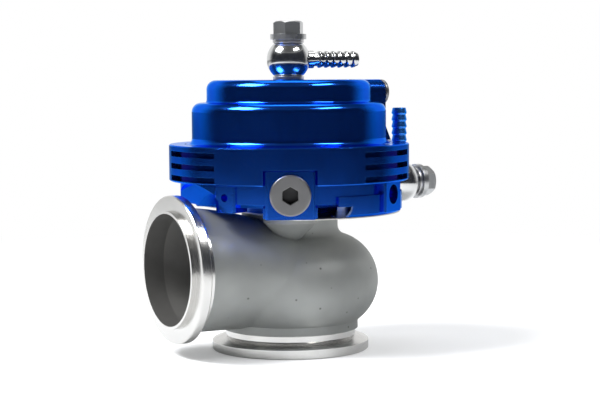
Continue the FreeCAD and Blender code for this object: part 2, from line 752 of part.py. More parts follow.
def piston():
    """The cup above the diaphragm that carries the springs."""
    inner = PISTON_R - PISTON_WALL
    return turned(
        (STEM_THREAD_R + FIT, DISC_Z),
        (PISTON_R - PISTON_WALL, DISC_Z),
        (on_arc((inner, DISC_Z + PISTON_WALL), PISTON_WALL, -45), (PISTON_R, DISC_Z + PISTON_WALL)),
        (PISTON_R, DISC_Z + PISTON_HEIGHT),
        (inner, DISC_Z + PISTON_HEIGHT),
        (inner, SPRING_SEAT_Z),
        (STEM_THREAD_R + FIT, SPRING_SEAT_Z),
    )


def stem_washer():
    """The washer under the stem nut."""
    return ring(WASHER_R, STEM_THREAD_R + FIT, SPRING_SEAT_Z, SPRING_SEAT_Z + WASHER_THICK)


def stem_nut():
    """The locking nut that holds piston, diaphragm and plate on the stem."""
    low = SPRING_SEAT_Z + WASHER_THICK
    high = low + NUT_HEIGHT
    return hex_head(NUT_FLATS, low, high).cut(rod(STEM_THREAD_R + FIT, low, high))


def wire_section(mean_r, wire_r, turn, height):
    """The wire's outline at one place on a coil."""
    along = math.radians(turn)
    points = []
    for side in range(WIRE_SIDES + 1):
        radius, rise = on_arc((mean_r, height), wire_r, (side + 0.5) * 360 / WIRE_SIDES)
        points.append(V(radius * math.cos(along), radius * math.sin(along), rise))
    return Part.makePolygon(points)


def coil_spring(mean_r, wire_r, turns):
    """A coil spring between the piston and the lid's ceiling, its ends ground flat."""
    low = SPRING_SEAT_Z + LOOSE
    high = LID_CEILING
    steps = round(turns * COIL_STEPS)
    rise = (high - low - wire_r) / steps
    sections = []
    for step in range(steps + 1):
        sections.append(wire_section(mean_r, wire_r, step * 360 / COIL_STEPS, low + wire_r / 2 + step * rise))
    coil = Part.makeLoft(sections, True, True)
    return coil.common(ring(mean_r + 2 * wire_r, mean_r - 2 * wire_r, low, high))


def locking_collar():
    """The threaded collar: an inward lip over the lid, notched for the lid's port, and finned sections."""
    body = turned(
        (HOUSING_THREAD_R + FIT, COLLAR_Z),
        (COLLAR_R - EDGE_BREAK, COLLAR_Z),
        (COLLAR_R, COLLAR_Z + EDGE_BREAK),
        (COLLAR_R, COLLAR_TOP - EDGE_BREAK),
        (COLLAR_R - EDGE_BREAK, COLLAR_TOP),
        (COLLAR_LIP_R, COLLAR_TOP),
        (COLLAR_LIP_R, COLLAR_LIP_Z),
        (HOUSING_THREAD_R + FIT, COLLAR_LIP_Z),
    )
    for azimuth in TALL_PORTS:
        width = BOSS_WIDTH + 2 * NOTCH_GAP
        body = body.cut(block(BOWL_R, COLLAR_R + DRILL_PAST, width, COLLAR_Z, BOSS_TOP + NOTCH_GAP / 2, azimuth))
    floor_r = COLLAR_R - FIN_GROOVE_DEPTH
    for middle in FINS:
        first = middle - FIN_HALF_ANGLE
        last = middle + FIN_HALF_ANGLE
        for step in range(FIN_GROOVES):
            low = COLLAR_Z + FIN_GROOVE_RISE + step * FIN_PITCH
            body = body.cut(sector(COLLAR_R + DRILL_PAST, floor_r, low, low + FIN_GROOVE, first, last))
    foot_width = 2 * (LID_BOSS_R + NOTCH_GAP)
    foot_reach = LID_BOSS_REACH + LID_PILLAR_FOOT + NOTCH_GAP / 2
    body = body.cut(block(BOWL_R, foot_reach, foot_width, COLLAR_LIP_Z, COLLAR_TOP, SIDE_PORT))
    for azimuth in grub_azimuths():
        body = body.cut(drill(GRUB_R + FIT, HOUSING_THREAD_R, COLLAR_R + DRILL_PAST, GRUB_Z, azimuth))
    return body


def grub_azimuths():
    """The azimuths of the collar's locking screws, clear of its notches."""
    return [azimuth + PORT_PITCH / 2 - GRUB_OFFSET for azimuth in (SIDE_PORT, REAR_PORT)]


def collar_grub_screws():
    """The grub screws that lock the collar to the housing."""
    screws = []
    for azimuth in grub_azimuths():
        near = HOUSING_THREAD_R + FIT
        far = COLLAR_R - EDGE_BREAK
        screw = drill(GRUB_R, near, far, GRUB_Z, azimuth)
        socket = at_port(hexagon(GRUB_R, -GRUB_R, GRUB_R), far, GRUB_Z, azimuth)
        screws.append(screw.cut(socket))
    return Part.makeCompound(screws)


def lid_pillar(near):
    """The upright rib under the lid's side port, spread a little at its foot."""
    foot_z = COLLAR_TOP + LOOSE
    side = outline(
        (near, foot_z),
        (LID_BOSS_REACH + LID_PILLAR_FOOT, foot_z),
        (LID_BOSS_REACH, foot_z + LID_PILLAR_FOOT_HEIGHT),
        (LID_BOSS_REACH, LID_PORT_Z),
        (near, LID_PORT_Z),
    )
    side.translate(V(0, -LID_BOSS_R, 0))
    return swing(side.extrude(V(0, 2 * LID_BOSS_R, 0)), SIDE_PORT)


def actuator_lid():
    """The two-step lid with its clamped flange, top hub, and side port on a pillar."""
    shoulder = LID_SHOULDER
    low_top = LID_LEDGE_Z
    low_c = (LID_LOWER_R - shoulder, low_top - shoulder)
    top_c = (LID_UPPER_R - shoulder, LID_TOP - shoulder)
    ledge_c = (LID_UPPER_R + LID_LEDGE_BLEND, low_top + LID_LEDGE_BLEND)
    flare_c = (LID_LOWER_R + LID_FLARE, COLLAR_TOP + LID_FLARE)
    skirt_r = COLLAR_LIP_R - LOOSE
    body = turned(
        (0, LID_FLANGE_Z),
        (LID_FLANGE_R, LID_FLANGE_Z),
        (LID_FLANGE_R, COLLAR_LIP_Z),
        (skirt_r, COLLAR_LIP_Z),
        (skirt_r, COLLAR_TOP),
        on_arc(flare_c, LID_FLARE, 270),
        (on_arc(flare_c, LID_FLARE, 225), on_arc(flare_c, LID_FLARE, 180)),
        on_arc(low_c, shoulder, 0),
        (on_arc(low_c, shoulder, 45), on_arc(low_c, shoulder, 90)),
        on_arc(ledge_c, LID_LEDGE_BLEND, 270),
        (on_arc(ledge_c, LID_LEDGE_BLEND, 225), on_arc(ledge_c, LID_LEDGE_BLEND, 180)),
        on_arc(top_c, shoulder, 0),
        (on_arc(top_c, shoulder, 45), on_arc(top_c, shoulder, 90)),
        (0, LID_TOP),
    )
    near = LID_SPRING_R
    round_boss = drill(LID_BOSS_R, near, LID_BOSS_REACH, LID_PORT_Z, SIDE_PORT)
    body = body.fuse([round_boss, lid_pillar(near)])
    hollow = turned(
        (0, LID_FLANGE_Z),
        (LID_CAVITY_R, LID_FLANGE_Z),
        (LID_CAVITY_R, LID_STEP_Z - shoulder / 2),
        (LID_CAVITY_R - shoulder / 2, LID_STEP_Z),
        (LID_SPRING_R, LID_STEP_Z),
        (LID_SPRING_R, LID_CEILING),
        (0, LID_CEILING),
    )
    hollow = hollow.cut(rod(LID_HUB_R, LID_CEILING - LID_HUB, LID_CEILING))
    cuts = [hollow, rod(BANJO_THREAD_R + FIT, LID_CEILING - LID_HUB, LID_TOP)]
    depth = LID_PLUG_SHANK + DRILL_PAST
    inner = near - LID_STEP_WALL
    cuts.append(port_bore(LID_PLUG_THREAD_R + FIT, depth, LID_BOSS_REACH, LID_PORT_Z, SIDE_PORT, inner))
    for tool in cuts:
        body = body.cut(tool)
    return body


def banjo_bolt():
    """A drilled banjo bolt on the Z axis, its joint face at height 0."""
    stack = BANJO_EYE + 2 * BANJO_WASHER
    flange_top = stack + BANJO_FLANGE
    end = BANJO_TIP_GAP - BANJO_SHANK
    bolt = rod(BANJO_THREAD_R, end, stack)
    bolt = bolt.fuse(rod(BANJO_FLANGE_R, stack, flange_top))
    bolt = bolt.fuse(hex_head(BANJO_HEX_FLATS, flange_top, flange_top + BANJO_HEX))
    middle = BANJO_WASHER + BANJO_EYE / 2
    bolt = bolt.cut(rod(BANJO_DUCT_R, end, middle + BANJO_DUCT_R))
    across = Part.makeCylinder(BANJO_DUCT_R / 2, 2 * BANJO_THREAD_R, V(-BANJO_THREAD_R, 0, middle), V(1, 0, 0))
    return bolt.cut(across)


def banjo_washers():
    """The two sealing washers, under and over the eye."""
    over = BANJO_WASHER + BANJO_EYE
    low = ring(BANJO_WASHER_R, BANJO_THREAD_R + FIT, 0, BANJO_WASHER)
    high = ring(BANJO_WASHER_R, BANJO_THREAD_R + FIT, over, over + BANJO_WASHER)
    return Part.makeCompound([low, high])


def banjo_eye(neck_end):
    """The round banjo eye on the Z axis, with a neck for its hose barb along +X."""
    middle = BANJO_WASHER + BANJO_EYE / 2
    ball = Part.makeSphere(BANJO_BALL_R, V(0, 0, middle))
    ball = ball.common(rod(BANJO_BALL_R, BANJO_WASHER, BANJO_WASHER + BANJO_EYE))
    ball = ball.fuse(Part.makeCylinder(BARB_NECK_R, neck_end, V(0, 0, middle), V(1, 0, 0)))
    bore = rod(BANJO_THREAD_R + FIT, BANJO_WASHER, BANJO_WASHER + BANJO_EYE)
    groove = rod(BANJO_THREAD_R + BANJO_DUCT_R / 2, middle - BANJO_DUCT_R, middle + BANJO_DUCT_R)
    return ball.cut(bore).cut(groove)


def barb(ridge_r, root_r, ridges, start):
    """A hose barb along +Z from its root: saw-tooth ridges that point back at the root."""
    points = [(BARB_BORE_R, 0), (root_r, 0), (root_r, start)]
    for ridge in range(ridges):
        low = start + ridge * BARB_PITCH
        points.append((ridge_r, low + BARB_LIP))
        points.append((ridge_r, low + 2 * BARB_LIP))
        points.append((root_r, low + BARB_PITCH))
    points.append((BARB_BORE_R, start + ridges * BARB_PITCH))
    return turned(*points)


def barb_base():
    """The height of the banjo eye's centre above its joint face."""
    return BANJO_WASHER + BANJO_EYE / 2


def top_banjo_fitting():
    """The lid's banjo eye and barb in one piece."""
    eye = banjo_eye(BARB_START - BARB_SHOULDER)
    root = BANJO_BALL_R - BARB_SUNK
    tail = barb(BARB_R, BARB_ROOT_R, BARB_RIDGES, BARB_START - root)
    tail = stand(tail, V(root, 0, barb_base()), V(1, 0, 0), UP)
    length = BARB_START + BARB_RIDGES * BARB_PITCH
    duct = Part.makeCylinder(BARB_BORE_R, length, V(BANJO_THREAD_R, 0, barb_base()), V(1, 0, 0))
    return eye.fuse(tail).cut(duct)


def side_banjo_eye():
    """The housing's banjo eye, with a socket for its separate barb."""
    eye = banjo_eye(SIDE_NECK)
    socket = Part.makeCylinder(SIDE_SOCKET_R + FIT, SIDE_NECK, V(SIDE_SOCKET_X, 0, barb_base()), V(1, 0, 0))
    duct = Part.makeCylinder(BARB_BORE_R, SIDE_NECK, V(BANJO_THREAD_R, 0, barb_base()), V(1, 0, 0))
    return eye.cut(socket).cut(duct)


def side_hose_barb():
    """The anodised barb that stands in the side eye's socket."""
    tail = barb(SIDE_BARB_R, BARB_ROOT_R, SIDE_BARB_RIDGES, SIDE_BARB_START - SIDE_SOCKET_X)
    shank = ring(SIDE_SOCKET_R, BARB_BORE_R, 0, SIDE_NECK - SIDE_SOCKET_X)
    return stand(tail.fuse(shank), V(SIDE_SOCKET_X, 0, barb_base()), V(1, 0, 0), UP)


def on_lid(shape):
    """Stand a banjo piece on the lid's top, its barb towards the hose."""
    return stand(shape, V(0, 0, LID_TOP), UP, heading(TOP_BARB_AZIMUTH))


def on_side(shape):
    """Stand a banjo piece on the side port's pad, its barb upward."""
    out = heading(SIDE_PORT)
    return stand(Part.makeCompound([shape]), out * SIDE_PAD_REACH + V(0, 0, PORT_Z), out, UP)


def plug(thread_r, flange_r, flange, shank, flats, socket):
    """A flanged socket plug along +Z, its sealing face at height 0."""
    head = turned((0, 0), (flange_r, 0), (flange_r, flange - EDGE_BREAK), (flange_r - EDGE_BREAK, flange), (0, flange))
    body = head.fuse(rod(thread_r, -shank, 0))
    return body.cut(hexagon(flats, flange - socket, flange))


def at_port(shape, reach, height, azimuth):
    """Put a piece made along +Z on a port's pad."""
    out = heading(azimuth)
    return stand(shape, out * reach + V(0, 0, height), out, UP)


def port_plugs():
    """The front and rear plugs, in the two tall ports that carry no fitting."""
    plugs = []
    for azimuth in (CLOCK, REAR_PORT):
        piece = plug(PLUG_THREAD_R, PLUG_FLANGE_R, PLUG_FLANGE, PLUG_SHANK, PLUG_SOCKET_FLATS, PLUG_SOCKET_DEPTH)
        plugs.append(at_port(piece, PAD_REACH + PLUG_SEAL, PORT_Z, azimuth))
    return Part.makeCompound(plugs)


def port_plug_seals():
    """The sealing rings under the two port plugs."""
    seals = []
    for azimuth in (CLOCK, REAR_PORT):
        piece = ring(PLUG_FLANGE_R - EDGE_BREAK, PLUG_THREAD_R + FIT, 0, PLUG_SEAL)
        seals.append(at_port(piece, PAD_REACH, PORT_Z, azimuth))
    return Part.makeCompound(seals)


def lid_plug():
    """The small plug in the lid's side port."""
    sizes = (LID_PLUG_THREAD_R, LID_PLUG_FLANGE_R, LID_PLUG_FLANGE, LID_PLUG_SHANK)
    piece = plug(*sizes, LID_PLUG_SOCKET_FLATS, LID_PLUG_SOCKET_DEPTH)
    return at_port(piece, LID_BOSS_REACH + LID_PLUG_SEAL, LID_PORT_Z, SIDE_PORT)


def lid_plug_seal():
    """The sealing ring under the lid's plug."""
    piece = ring(LID_PLUG_FLANGE_R - EDGE_BREAK, LID_PLUG_THREAD_R + FIT, 0, LID_PLUG_SEAL)
    return at_port(piece, LID_BOSS_REACH, LID_PORT_Z, SIDE_PORT)


def model():
    """Every sub-part by name."""
    nodes = {
        "valve_body": valve_body(),
        "valve_seat": valve_seat(),
        "valve_guide": valve_guide(),
        "heat_shield": heat_shield(),
        "mounting_screws": mounting_screws(),
        "actuator_housing": actuator_housing(),
        "stem_bushing": stem_bushing(),
        "stem_seal": stem_seal(),
        "diaphragm": diaphragm(),
        "locking_collar": locking_collar(),
        "collar_grub_screws": collar_grub_screws(),
        "actuator_lid": actuator_lid(),
        "top_banjo_bolt": on_lid(banjo_bolt()),
        "top_banjo_washers": on_lid(banjo_washers()),
        "top_banjo_fitting": on_lid(top_banjo_fitting()),
        "side_banjo_bolt": on_side(banjo_bolt()),
        "side_banjo_washers": on_side(banjo_washers()),
        "side_banjo_eye": on_side(side_banjo_eye()),
        "side_hose_barb": on_side(side_hose_barb()),
        "port_plugs": port_plugs(),
        "port_plug_seals": port_plug_seals(),
        "lid_port_plug": lid_plug(),
        "lid_plug_seal": lid_plug_seal(),
        "valve": valve(),
        "lower_plate": lower_plate(),
        "spring_piston": piston(),
        "stem_washer": stem_washer(),
        "stem_nut": stem_nut(),
    }
    for name, sizes in SPRINGS.items():
        nodes[name] = coil_spring(*sizes)
    return nodes


def main():
    """Write one STEP file per sub-part."""
    os.makedirs("parts", exist_ok=True)
    for name, shape in model().items():
        shape.exportStep("parts/" + name + ".step")
        print(name, len(shape.Solids), round(shape.Volume), shape.isValid())


main()
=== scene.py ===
"""The looks of a turbo wastegate: finishes, rounded edges, springs and a studio around the fixed frame."""

import json
import logging
import math
from dataclasses import dataclass, replace
from enum import Enum
from typing import Sequence

import bmesh
import bpy
from bmesh.types import BMesh, BMVert
from bpy.types import ID, Material, Node, NodeSocket, NodeTree, Object, bpy_prop_collection
from mathutils import Matrix, Vector

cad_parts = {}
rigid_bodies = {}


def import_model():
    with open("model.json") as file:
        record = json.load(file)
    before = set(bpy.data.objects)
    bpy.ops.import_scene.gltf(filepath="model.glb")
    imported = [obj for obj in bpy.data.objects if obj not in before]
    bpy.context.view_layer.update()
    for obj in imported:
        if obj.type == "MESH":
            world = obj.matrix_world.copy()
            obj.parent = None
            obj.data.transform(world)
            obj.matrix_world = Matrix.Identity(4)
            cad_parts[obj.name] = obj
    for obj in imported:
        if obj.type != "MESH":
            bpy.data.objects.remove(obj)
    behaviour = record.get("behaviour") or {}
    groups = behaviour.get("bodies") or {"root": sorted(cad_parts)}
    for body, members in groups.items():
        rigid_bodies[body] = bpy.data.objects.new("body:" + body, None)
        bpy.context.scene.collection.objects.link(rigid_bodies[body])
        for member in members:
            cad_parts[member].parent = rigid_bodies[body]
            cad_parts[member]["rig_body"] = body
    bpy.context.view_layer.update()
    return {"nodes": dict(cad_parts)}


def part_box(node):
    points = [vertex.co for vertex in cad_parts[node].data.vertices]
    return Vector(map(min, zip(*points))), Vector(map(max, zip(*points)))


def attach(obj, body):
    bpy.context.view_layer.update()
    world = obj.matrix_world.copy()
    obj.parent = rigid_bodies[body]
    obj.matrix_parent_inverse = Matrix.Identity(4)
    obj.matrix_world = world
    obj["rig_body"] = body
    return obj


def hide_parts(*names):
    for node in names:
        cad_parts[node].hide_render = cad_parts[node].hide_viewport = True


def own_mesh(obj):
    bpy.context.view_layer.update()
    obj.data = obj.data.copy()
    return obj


LOG = logging.getLogger("wastegate")
MM = 0.001
PORT_AZIMUTH = -28.0  # of the front port, in degrees to the right of the front

Colour = tuple[float, float, float]
Feed = NodeSocket | float | Sequence[float]


class Body(Enum):
    """The frame's two bodies."""

    HOUSING = "housing"
    TRAIN = "valve_train"


class Slot(Enum):
    """The material slots."""

    CAST = "cast_stainless"
    SEAT = "seat_alloy"
    BRONZE = "bronze"
    SHEET = "sheet_stainless"
    SCREW = "screw_steel"
    BLUE = "blue_anodised"
    SEAL = "seal_rubber"
    DIAPHRAGM = "diaphragm_rubber"
    POLISHED = "polished_steel"
    WASHER = "seal_washer"
    SATIN = "satin_steel"
    VALVE = "valve_steel"
    ALLOY = "plain_alloy"
    SPRING = "spring_steel"


def heading(turn: float) -> Vector:
    """The level way out from the valve's axis at an azimuth.

    Args:
        turn: The azimuth in radians, from the front to the right.

    Returns:
        A unit vector.
    """
    return Vector((math.sin(turn), -math.cos(turn), 0.0))


def add_object(data: ID) -> Object:
    """Add an object to the scene.

    Args:
        data: Its mesh, lamp or camera, whose name it takes.

    Returns:
        The object.
    """
    thing = bpy.data.objects.new(data.name, data)
    bpy.context.scene.collection.objects.link(thing)
    return thing


def join_rings(form: BMesh, rings: Sequence[Sequence[BMVert]]) -> None:
    """Join rings of points into a closed tube with flat ends.

    Args:
        form: The form that the points are in.
        rings: The rings, from one end to the other.
    """
    for first, second in zip(rings, rings[1:]):
        for number in range(len(first)):
            after = (number + 1) % len(first)
            form.faces.new((first[number], first[after], second[after], second[number]))
    form.faces.new(list(reversed(rings[0])))
    form.faces.new(rings[-1])
    bmesh.ops.recalc_face_normals(form, faces=form.faces)


def add_form(name: str, form: BMesh) -> Object:
    """Add a form to the scene as an object.

    Args:
        name: The name of the object and its mesh.
        form: The form, which is freed.

    Returns:
        The object.
    """
    mesh = bpy.data.meshes.new(name)
    form.to_mesh(mesh)
    form.free()
    return add_object(mesh)


# ---------------------------------------------------------------- shared shader effects


@dataclass(frozen=True)
class Graph:
    """A node tree that is being wired.

    Attributes:
        tree: The node tree.
    """

    tree: NodeTree

    def feed(self, node: Node, feeds: dict[str | int, Feed]) -> None:
        """Link or set a node's inputs.

        Args:
            node: The node.
            feeds: A socket or a value for each input, by name or number.
        """
        for key, source in feeds.items():
            if isinstance(source, NodeSocket):
                self.tree.links.new(source, node.inputs[key])
            else:
                node.inputs[key].default_value = source

    def add(self, kind: str, feeds: dict[str | int, Feed] | None = None, **settings: object) -> Node:
        """Add a shader node.

        Args:
            kind: Its type, without the leading ShaderNode.
            feeds: A socket or a value for each input that has one, by name or number.
            **settings: Its other settings, such as its operation.

        Returns:
            The node.
        """
        node = self.tree.nodes.new("ShaderNode" + kind)
        for name, value in settings.items():
            setattr(node, name, value)
        self.feed(node, feeds or {})
        return node

    def calc(self, operation: str, *terms: Feed) -> NodeSocket:
        """Work out a value with a Math node.

        Args:
            operation: The node's operation.
            *terms: A socket or a value for each of its inputs.

        Returns:
            The result.
        """
        return self.add("Math", dict(enumerate(terms)), operation=operation).outputs[0]

    def fade(self, value: NodeSocket, start: float, end: float, low: float = 0.0,
             high: float = 1.0) -> NodeSocket:
        """Change smoothly from one strength to another.

        Args:
            value: What the change follows.
            start: Its value where the change starts.
            end: Its value where the change ends.
            low: Strength up to the start.
            high: Strength from the end on.

        Returns:
            The strength.
        """
        feeds = {"Value": value, "From Min": start, "From Max": end, "To Min": low, "To Max": high}
        return self.add("MapRange", feeds, interpolation_type="SMOOTHSTEP").outputs["Result"]

    def mix(self, factor: NodeSocket, low: Feed, high: Colour) -> NodeSocket:
        """Mix two colours by a mask.

        Args:
            factor: The mask.
            low: Colour or socket where the mask is 0.
            high: Colour where the mask is 1.

        Returns:
            The mixed colour.
        """
        if isinstance(low, tuple):
            low = (*low, 1.0)
        feeds = {"Factor": factor, "A": low, "B": (*high, 1.0)}
        return self.add("Mix", feeds, data_type="RGBA").outputs["Result"]

    def bump(self, height: NodeSocket, strength: float, depth: float, below: NodeSocket | None) -> NodeSocket:
        """Add one bump on top of another.

        Args:
            height: The height map.
            strength: Bump strength.
            depth: Bump distance in metres.
            below: The normal under it, or None.

        Returns:
            The bumped normal.
        """
        node = self.add("Bump", {"Strength": strength, "Distance": depth, "Height": height})
        if below is not None:
            self.feed(node, {"Normal": below})
        return node.outputs["Normal"]

    def blend(self, share: NodeSocket, first: NodeSocket, second: NodeSocket) -> None:
        """Blend two shaders into a material's surface.

        Args:
            share: The second shader's share.
            first: The shader where it is 0.
            second: The shader where it is 1.
        """
        blend = self.add("MixShader", {"Fac": share, 1: first, 2: second})
        self.feed(self.tree.nodes["Material Output"], {"Surface": blend.outputs[0]})


def new_material(name: str) -> tuple[Material, Graph]:
    """Start a node material.

    Args:
        name: Its name.

    Returns:
        The material and its graph.
    """
    material = bpy.data.materials.new(name)
    material.use_nodes = True
    return material, Graph(material.node_tree)


class Effect(Enum):
    """The shader node groups that the finishes share, each with the name of the method that fills it."""

    # Paints a lighter colour along edges: partly worn edges, partly a painted highlight.
    EDGE_WEAR_AND_HIGHLIGHT = "edge_wear"
    MOTTLE = "mottle"
    TURNED_LINES = "turned_lines"
    CAST_SKIN = "cast_skin"


class Effects:
    """Builds each shared shader node group once and keeps it.

    Attributes:
        WAVE_HEIGHT: Height of a casting's soft waves against its grain.
        BARE_CELLS: Share of a casting's cells that hold no speck.
    """

    WAVE_HEIGHT = 2.5
    BARE_CELLS = 0.65

    def __init__(self) -> None:
        """Start with no group built."""
        self.built: dict[Effect, NodeTree] = {}

    def get(self, effect: Effect) -> NodeTree:
        """Return the node group of an effect, built on first use.

        Args:
            effect: Which effect.

        Returns:
            The shader node group.
        """
        if effect not in self.built:
            tree = bpy.data.node_groups.new(effect.value, "ShaderNodeTree")
            getattr(self, effect.value)(Graph(tree))
            self.built[effect] = tree
        return self.built[effect]

    @staticmethod
    def sockets(graph: Graph, inputs: dict[str, float], outputs: Sequence[str],
                placed: bool = True) -> tuple[bpy_prop_collection, Node]:
        """Give a group its sockets.

        Args:
            graph: The group.
            inputs: Names and defaults of its value inputs.
            outputs: Names of its value outputs.
            placed: Whether it also reads coordinates, from an input named Place.

        Returns:
            What the group reads, by name, and its output node.
        """
        new_socket = graph.tree.interface.new_socket
        if placed:
            new_socket("Place", in_out="INPUT", socket_type="NodeSocketVector")
        for name, value in inputs.items():
            new_socket(name, in_out="INPUT", socket_type="NodeSocketFloat").default_value = value
        for name in outputs:
            new_socket(name, in_out="OUTPUT", socket_type="NodeSocketFloat")
        return graph.tree.nodes.new("NodeGroupInput").outputs, graph.tree.nodes.new("NodeGroupOutput")

    def edge_wear(self, graph: Graph) -> None:
        """Mask: 1 on sharp outer and inner edges, 0 on open surface; the finishes paint a lighter colour
        along edges by it, partly as worn edges and partly as a painted highlight.

        Args:
            graph: The empty group to fill.
        """
        ins, outs = self.sockets(graph, {"Radius": 0.0004, "Gain": 4.0}, ["Mask"], placed=False)
        rounded = graph.add("Bevel", {"Radius": ins["Radius"]}, samples=6).outputs["Normal"]
        flat = graph.add("NewGeometry").outputs["Normal"]
        alike = graph.add("VectorMath", {0: rounded, 1: flat}, operation="DOT_PRODUCT").outputs["Value"]
        bend = graph.calc("SUBTRACT", 1.0, alike)
        mask = graph.add("Math", {0: bend, 1: ins["Gain"]}, operation="MULTIPLY", use_clamp=True)
        graph.feed(outs, {"Mask": mask.outputs[0]})

    def mottle(self, graph: Graph) -> None:
        """Value: slow cloudy variation from 0 to 1.

        Args:
            graph: The empty group to fill.
        """
        ins, outs = self.sockets(graph, {"Scale": 60.0, "Detail": 3.0}, ["Value"])
        feeds = {"Vector": ins["Place"], "Scale": ins["Scale"], "Detail": ins["Detail"]}
        noise = graph.add("TexNoise", feeds).outputs["Fac"]
        spread = graph.add("MapRange", {"Value": noise, "From Min": 0.3, "From Max": 0.7})
        graph.feed(outs, {"Value": spread.outputs["Result"]})

    def turned_lines(self, graph: Graph) -> None:
        """Height: fine tool lines round the Z axis of Place, on faces and on sides alike.

        Args:
            graph: The empty group to fill.
        """
        ins, outs = self.sockets(graph, {"Lines": 2500.0}, ["Height"])
        split = graph.add("SeparateXYZ", {0: ins["Place"]}).outputs
        level = graph.add("CombineXYZ", {"X": split["X"], "Y": split["Y"]}).outputs[0]
        radius = graph.add("VectorMath", {0: level}, operation="LENGTH").outputs["Value"]
        line = graph.calc("MULTIPLY", graph.calc("ADD", radius, split["Z"]), ins["Lines"])
        noise = graph.add("TexNoise", {"W": line, "Scale": 1.0, "Detail": 2.0}, noise_dimensions="1D")
        graph.feed(outs, {"Height": noise.outputs["Fac"]})

    def cast_skin(self, graph: Graph) -> None:
        """Height: blasted grain over soft waves. Pits: sparse dark specks.

        Args:
            graph: The empty group to fill.
        """
        ins, outs = self.sockets(graph, {"Grain": 2600.0, "Waves": 90.0, "Specks": 220.0}, ["Height", "Pits"])
        place = ins["Place"]
        grain = graph.add("TexNoise", {"Vector": place, "Scale": ins["Grain"], "Detail": 4.0}).outputs["Fac"]
        waves = graph.add("TexNoise", {"Vector": place, "Scale": ins["Waves"], "Detail": 2.0}).outputs["Fac"]
        cells = graph.add("TexVoronoi", {"Vector": place, "Scale": ins["Specks"], "Randomness": 1.0}).outputs
        near = graph.add("MapRange", {"Value": cells["Distance"], "From Min": 0.05, "From Max": 0.13,
                                           "To Min": 1.0, "To Max": 0.0}).outputs["Result"]
        chance = graph.add("SeparateColor", {0: cells["Color"]}).outputs[0]
        pits = graph.calc("MULTIPLY", near, graph.calc("GREATER_THAN", chance, self.BARE_CELLS))
        graph.feed(outs, {"Height": graph.calc("MULTIPLY_ADD", waves, self.WAVE_HEIGHT, grain)})
        graph.feed(outs, {"Pits": pits})


# ---------------------------------------------------------------- finishes


@dataclass(frozen=True)
class Finish:
    """One surface finish.

    Attributes:
        name: The material's name.
        slot: The slot it belongs to. It is not used.
        colour: Main colour.
        dark: Colour that the cloudy variation leads to.
        edge: Colour of worn or polished edges, which also serves as a painted highlight along them.
        roughness: Lowest roughness.
        roughness_spread: How much the cloudy variation adds to it.
        metallic: 1 for metal, 0 for rubber.
        coat: Weight of a clear layer.
        coat_roughness: Roughness of that layer.
        edge_radius: Width of the edge effect in metres.
        edge_wear_highlight_gain: Strength of the lighter edge colour, partly worn edges and partly a painted
            highlight.
        mottle_scale: Scale of the cloudy variation.
        lines: Tool lines per metre, or 0 for none.
        line_depth: Bump strength of the tool lines.
        skin: Bump strength of a cast or moulded skin, or 0.
        grain: Scale of that skin's grain.
        pits: How dark the skin's specks are, from 0 to 1.
        sheen: Weight of a soft sheen, for cloth-backed rubber.
        rim: Tint of metal seen at a grazing angle.
    """

    name: str
    slot: Slot
    colour: Colour
    dark: Colour
    edge: Colour
    roughness: float
    roughness_spread: float = 0.06
    metallic: float = 1.0
    coat: float = 0.0
    coat_roughness: float = 0.1
    edge_radius: float = 0.0004
    edge_wear_highlight_gain: float = 3.0
    mottle_scale: float = 60.0
    lines: float = 0.0
    line_depth: float = 0.0
    skin: float = 0.0
    grain: float = 2600.0
    pits: float = 0.0
    sheen: float = 0.0
    rim: Colour = (1.0, 1.0, 1.0)


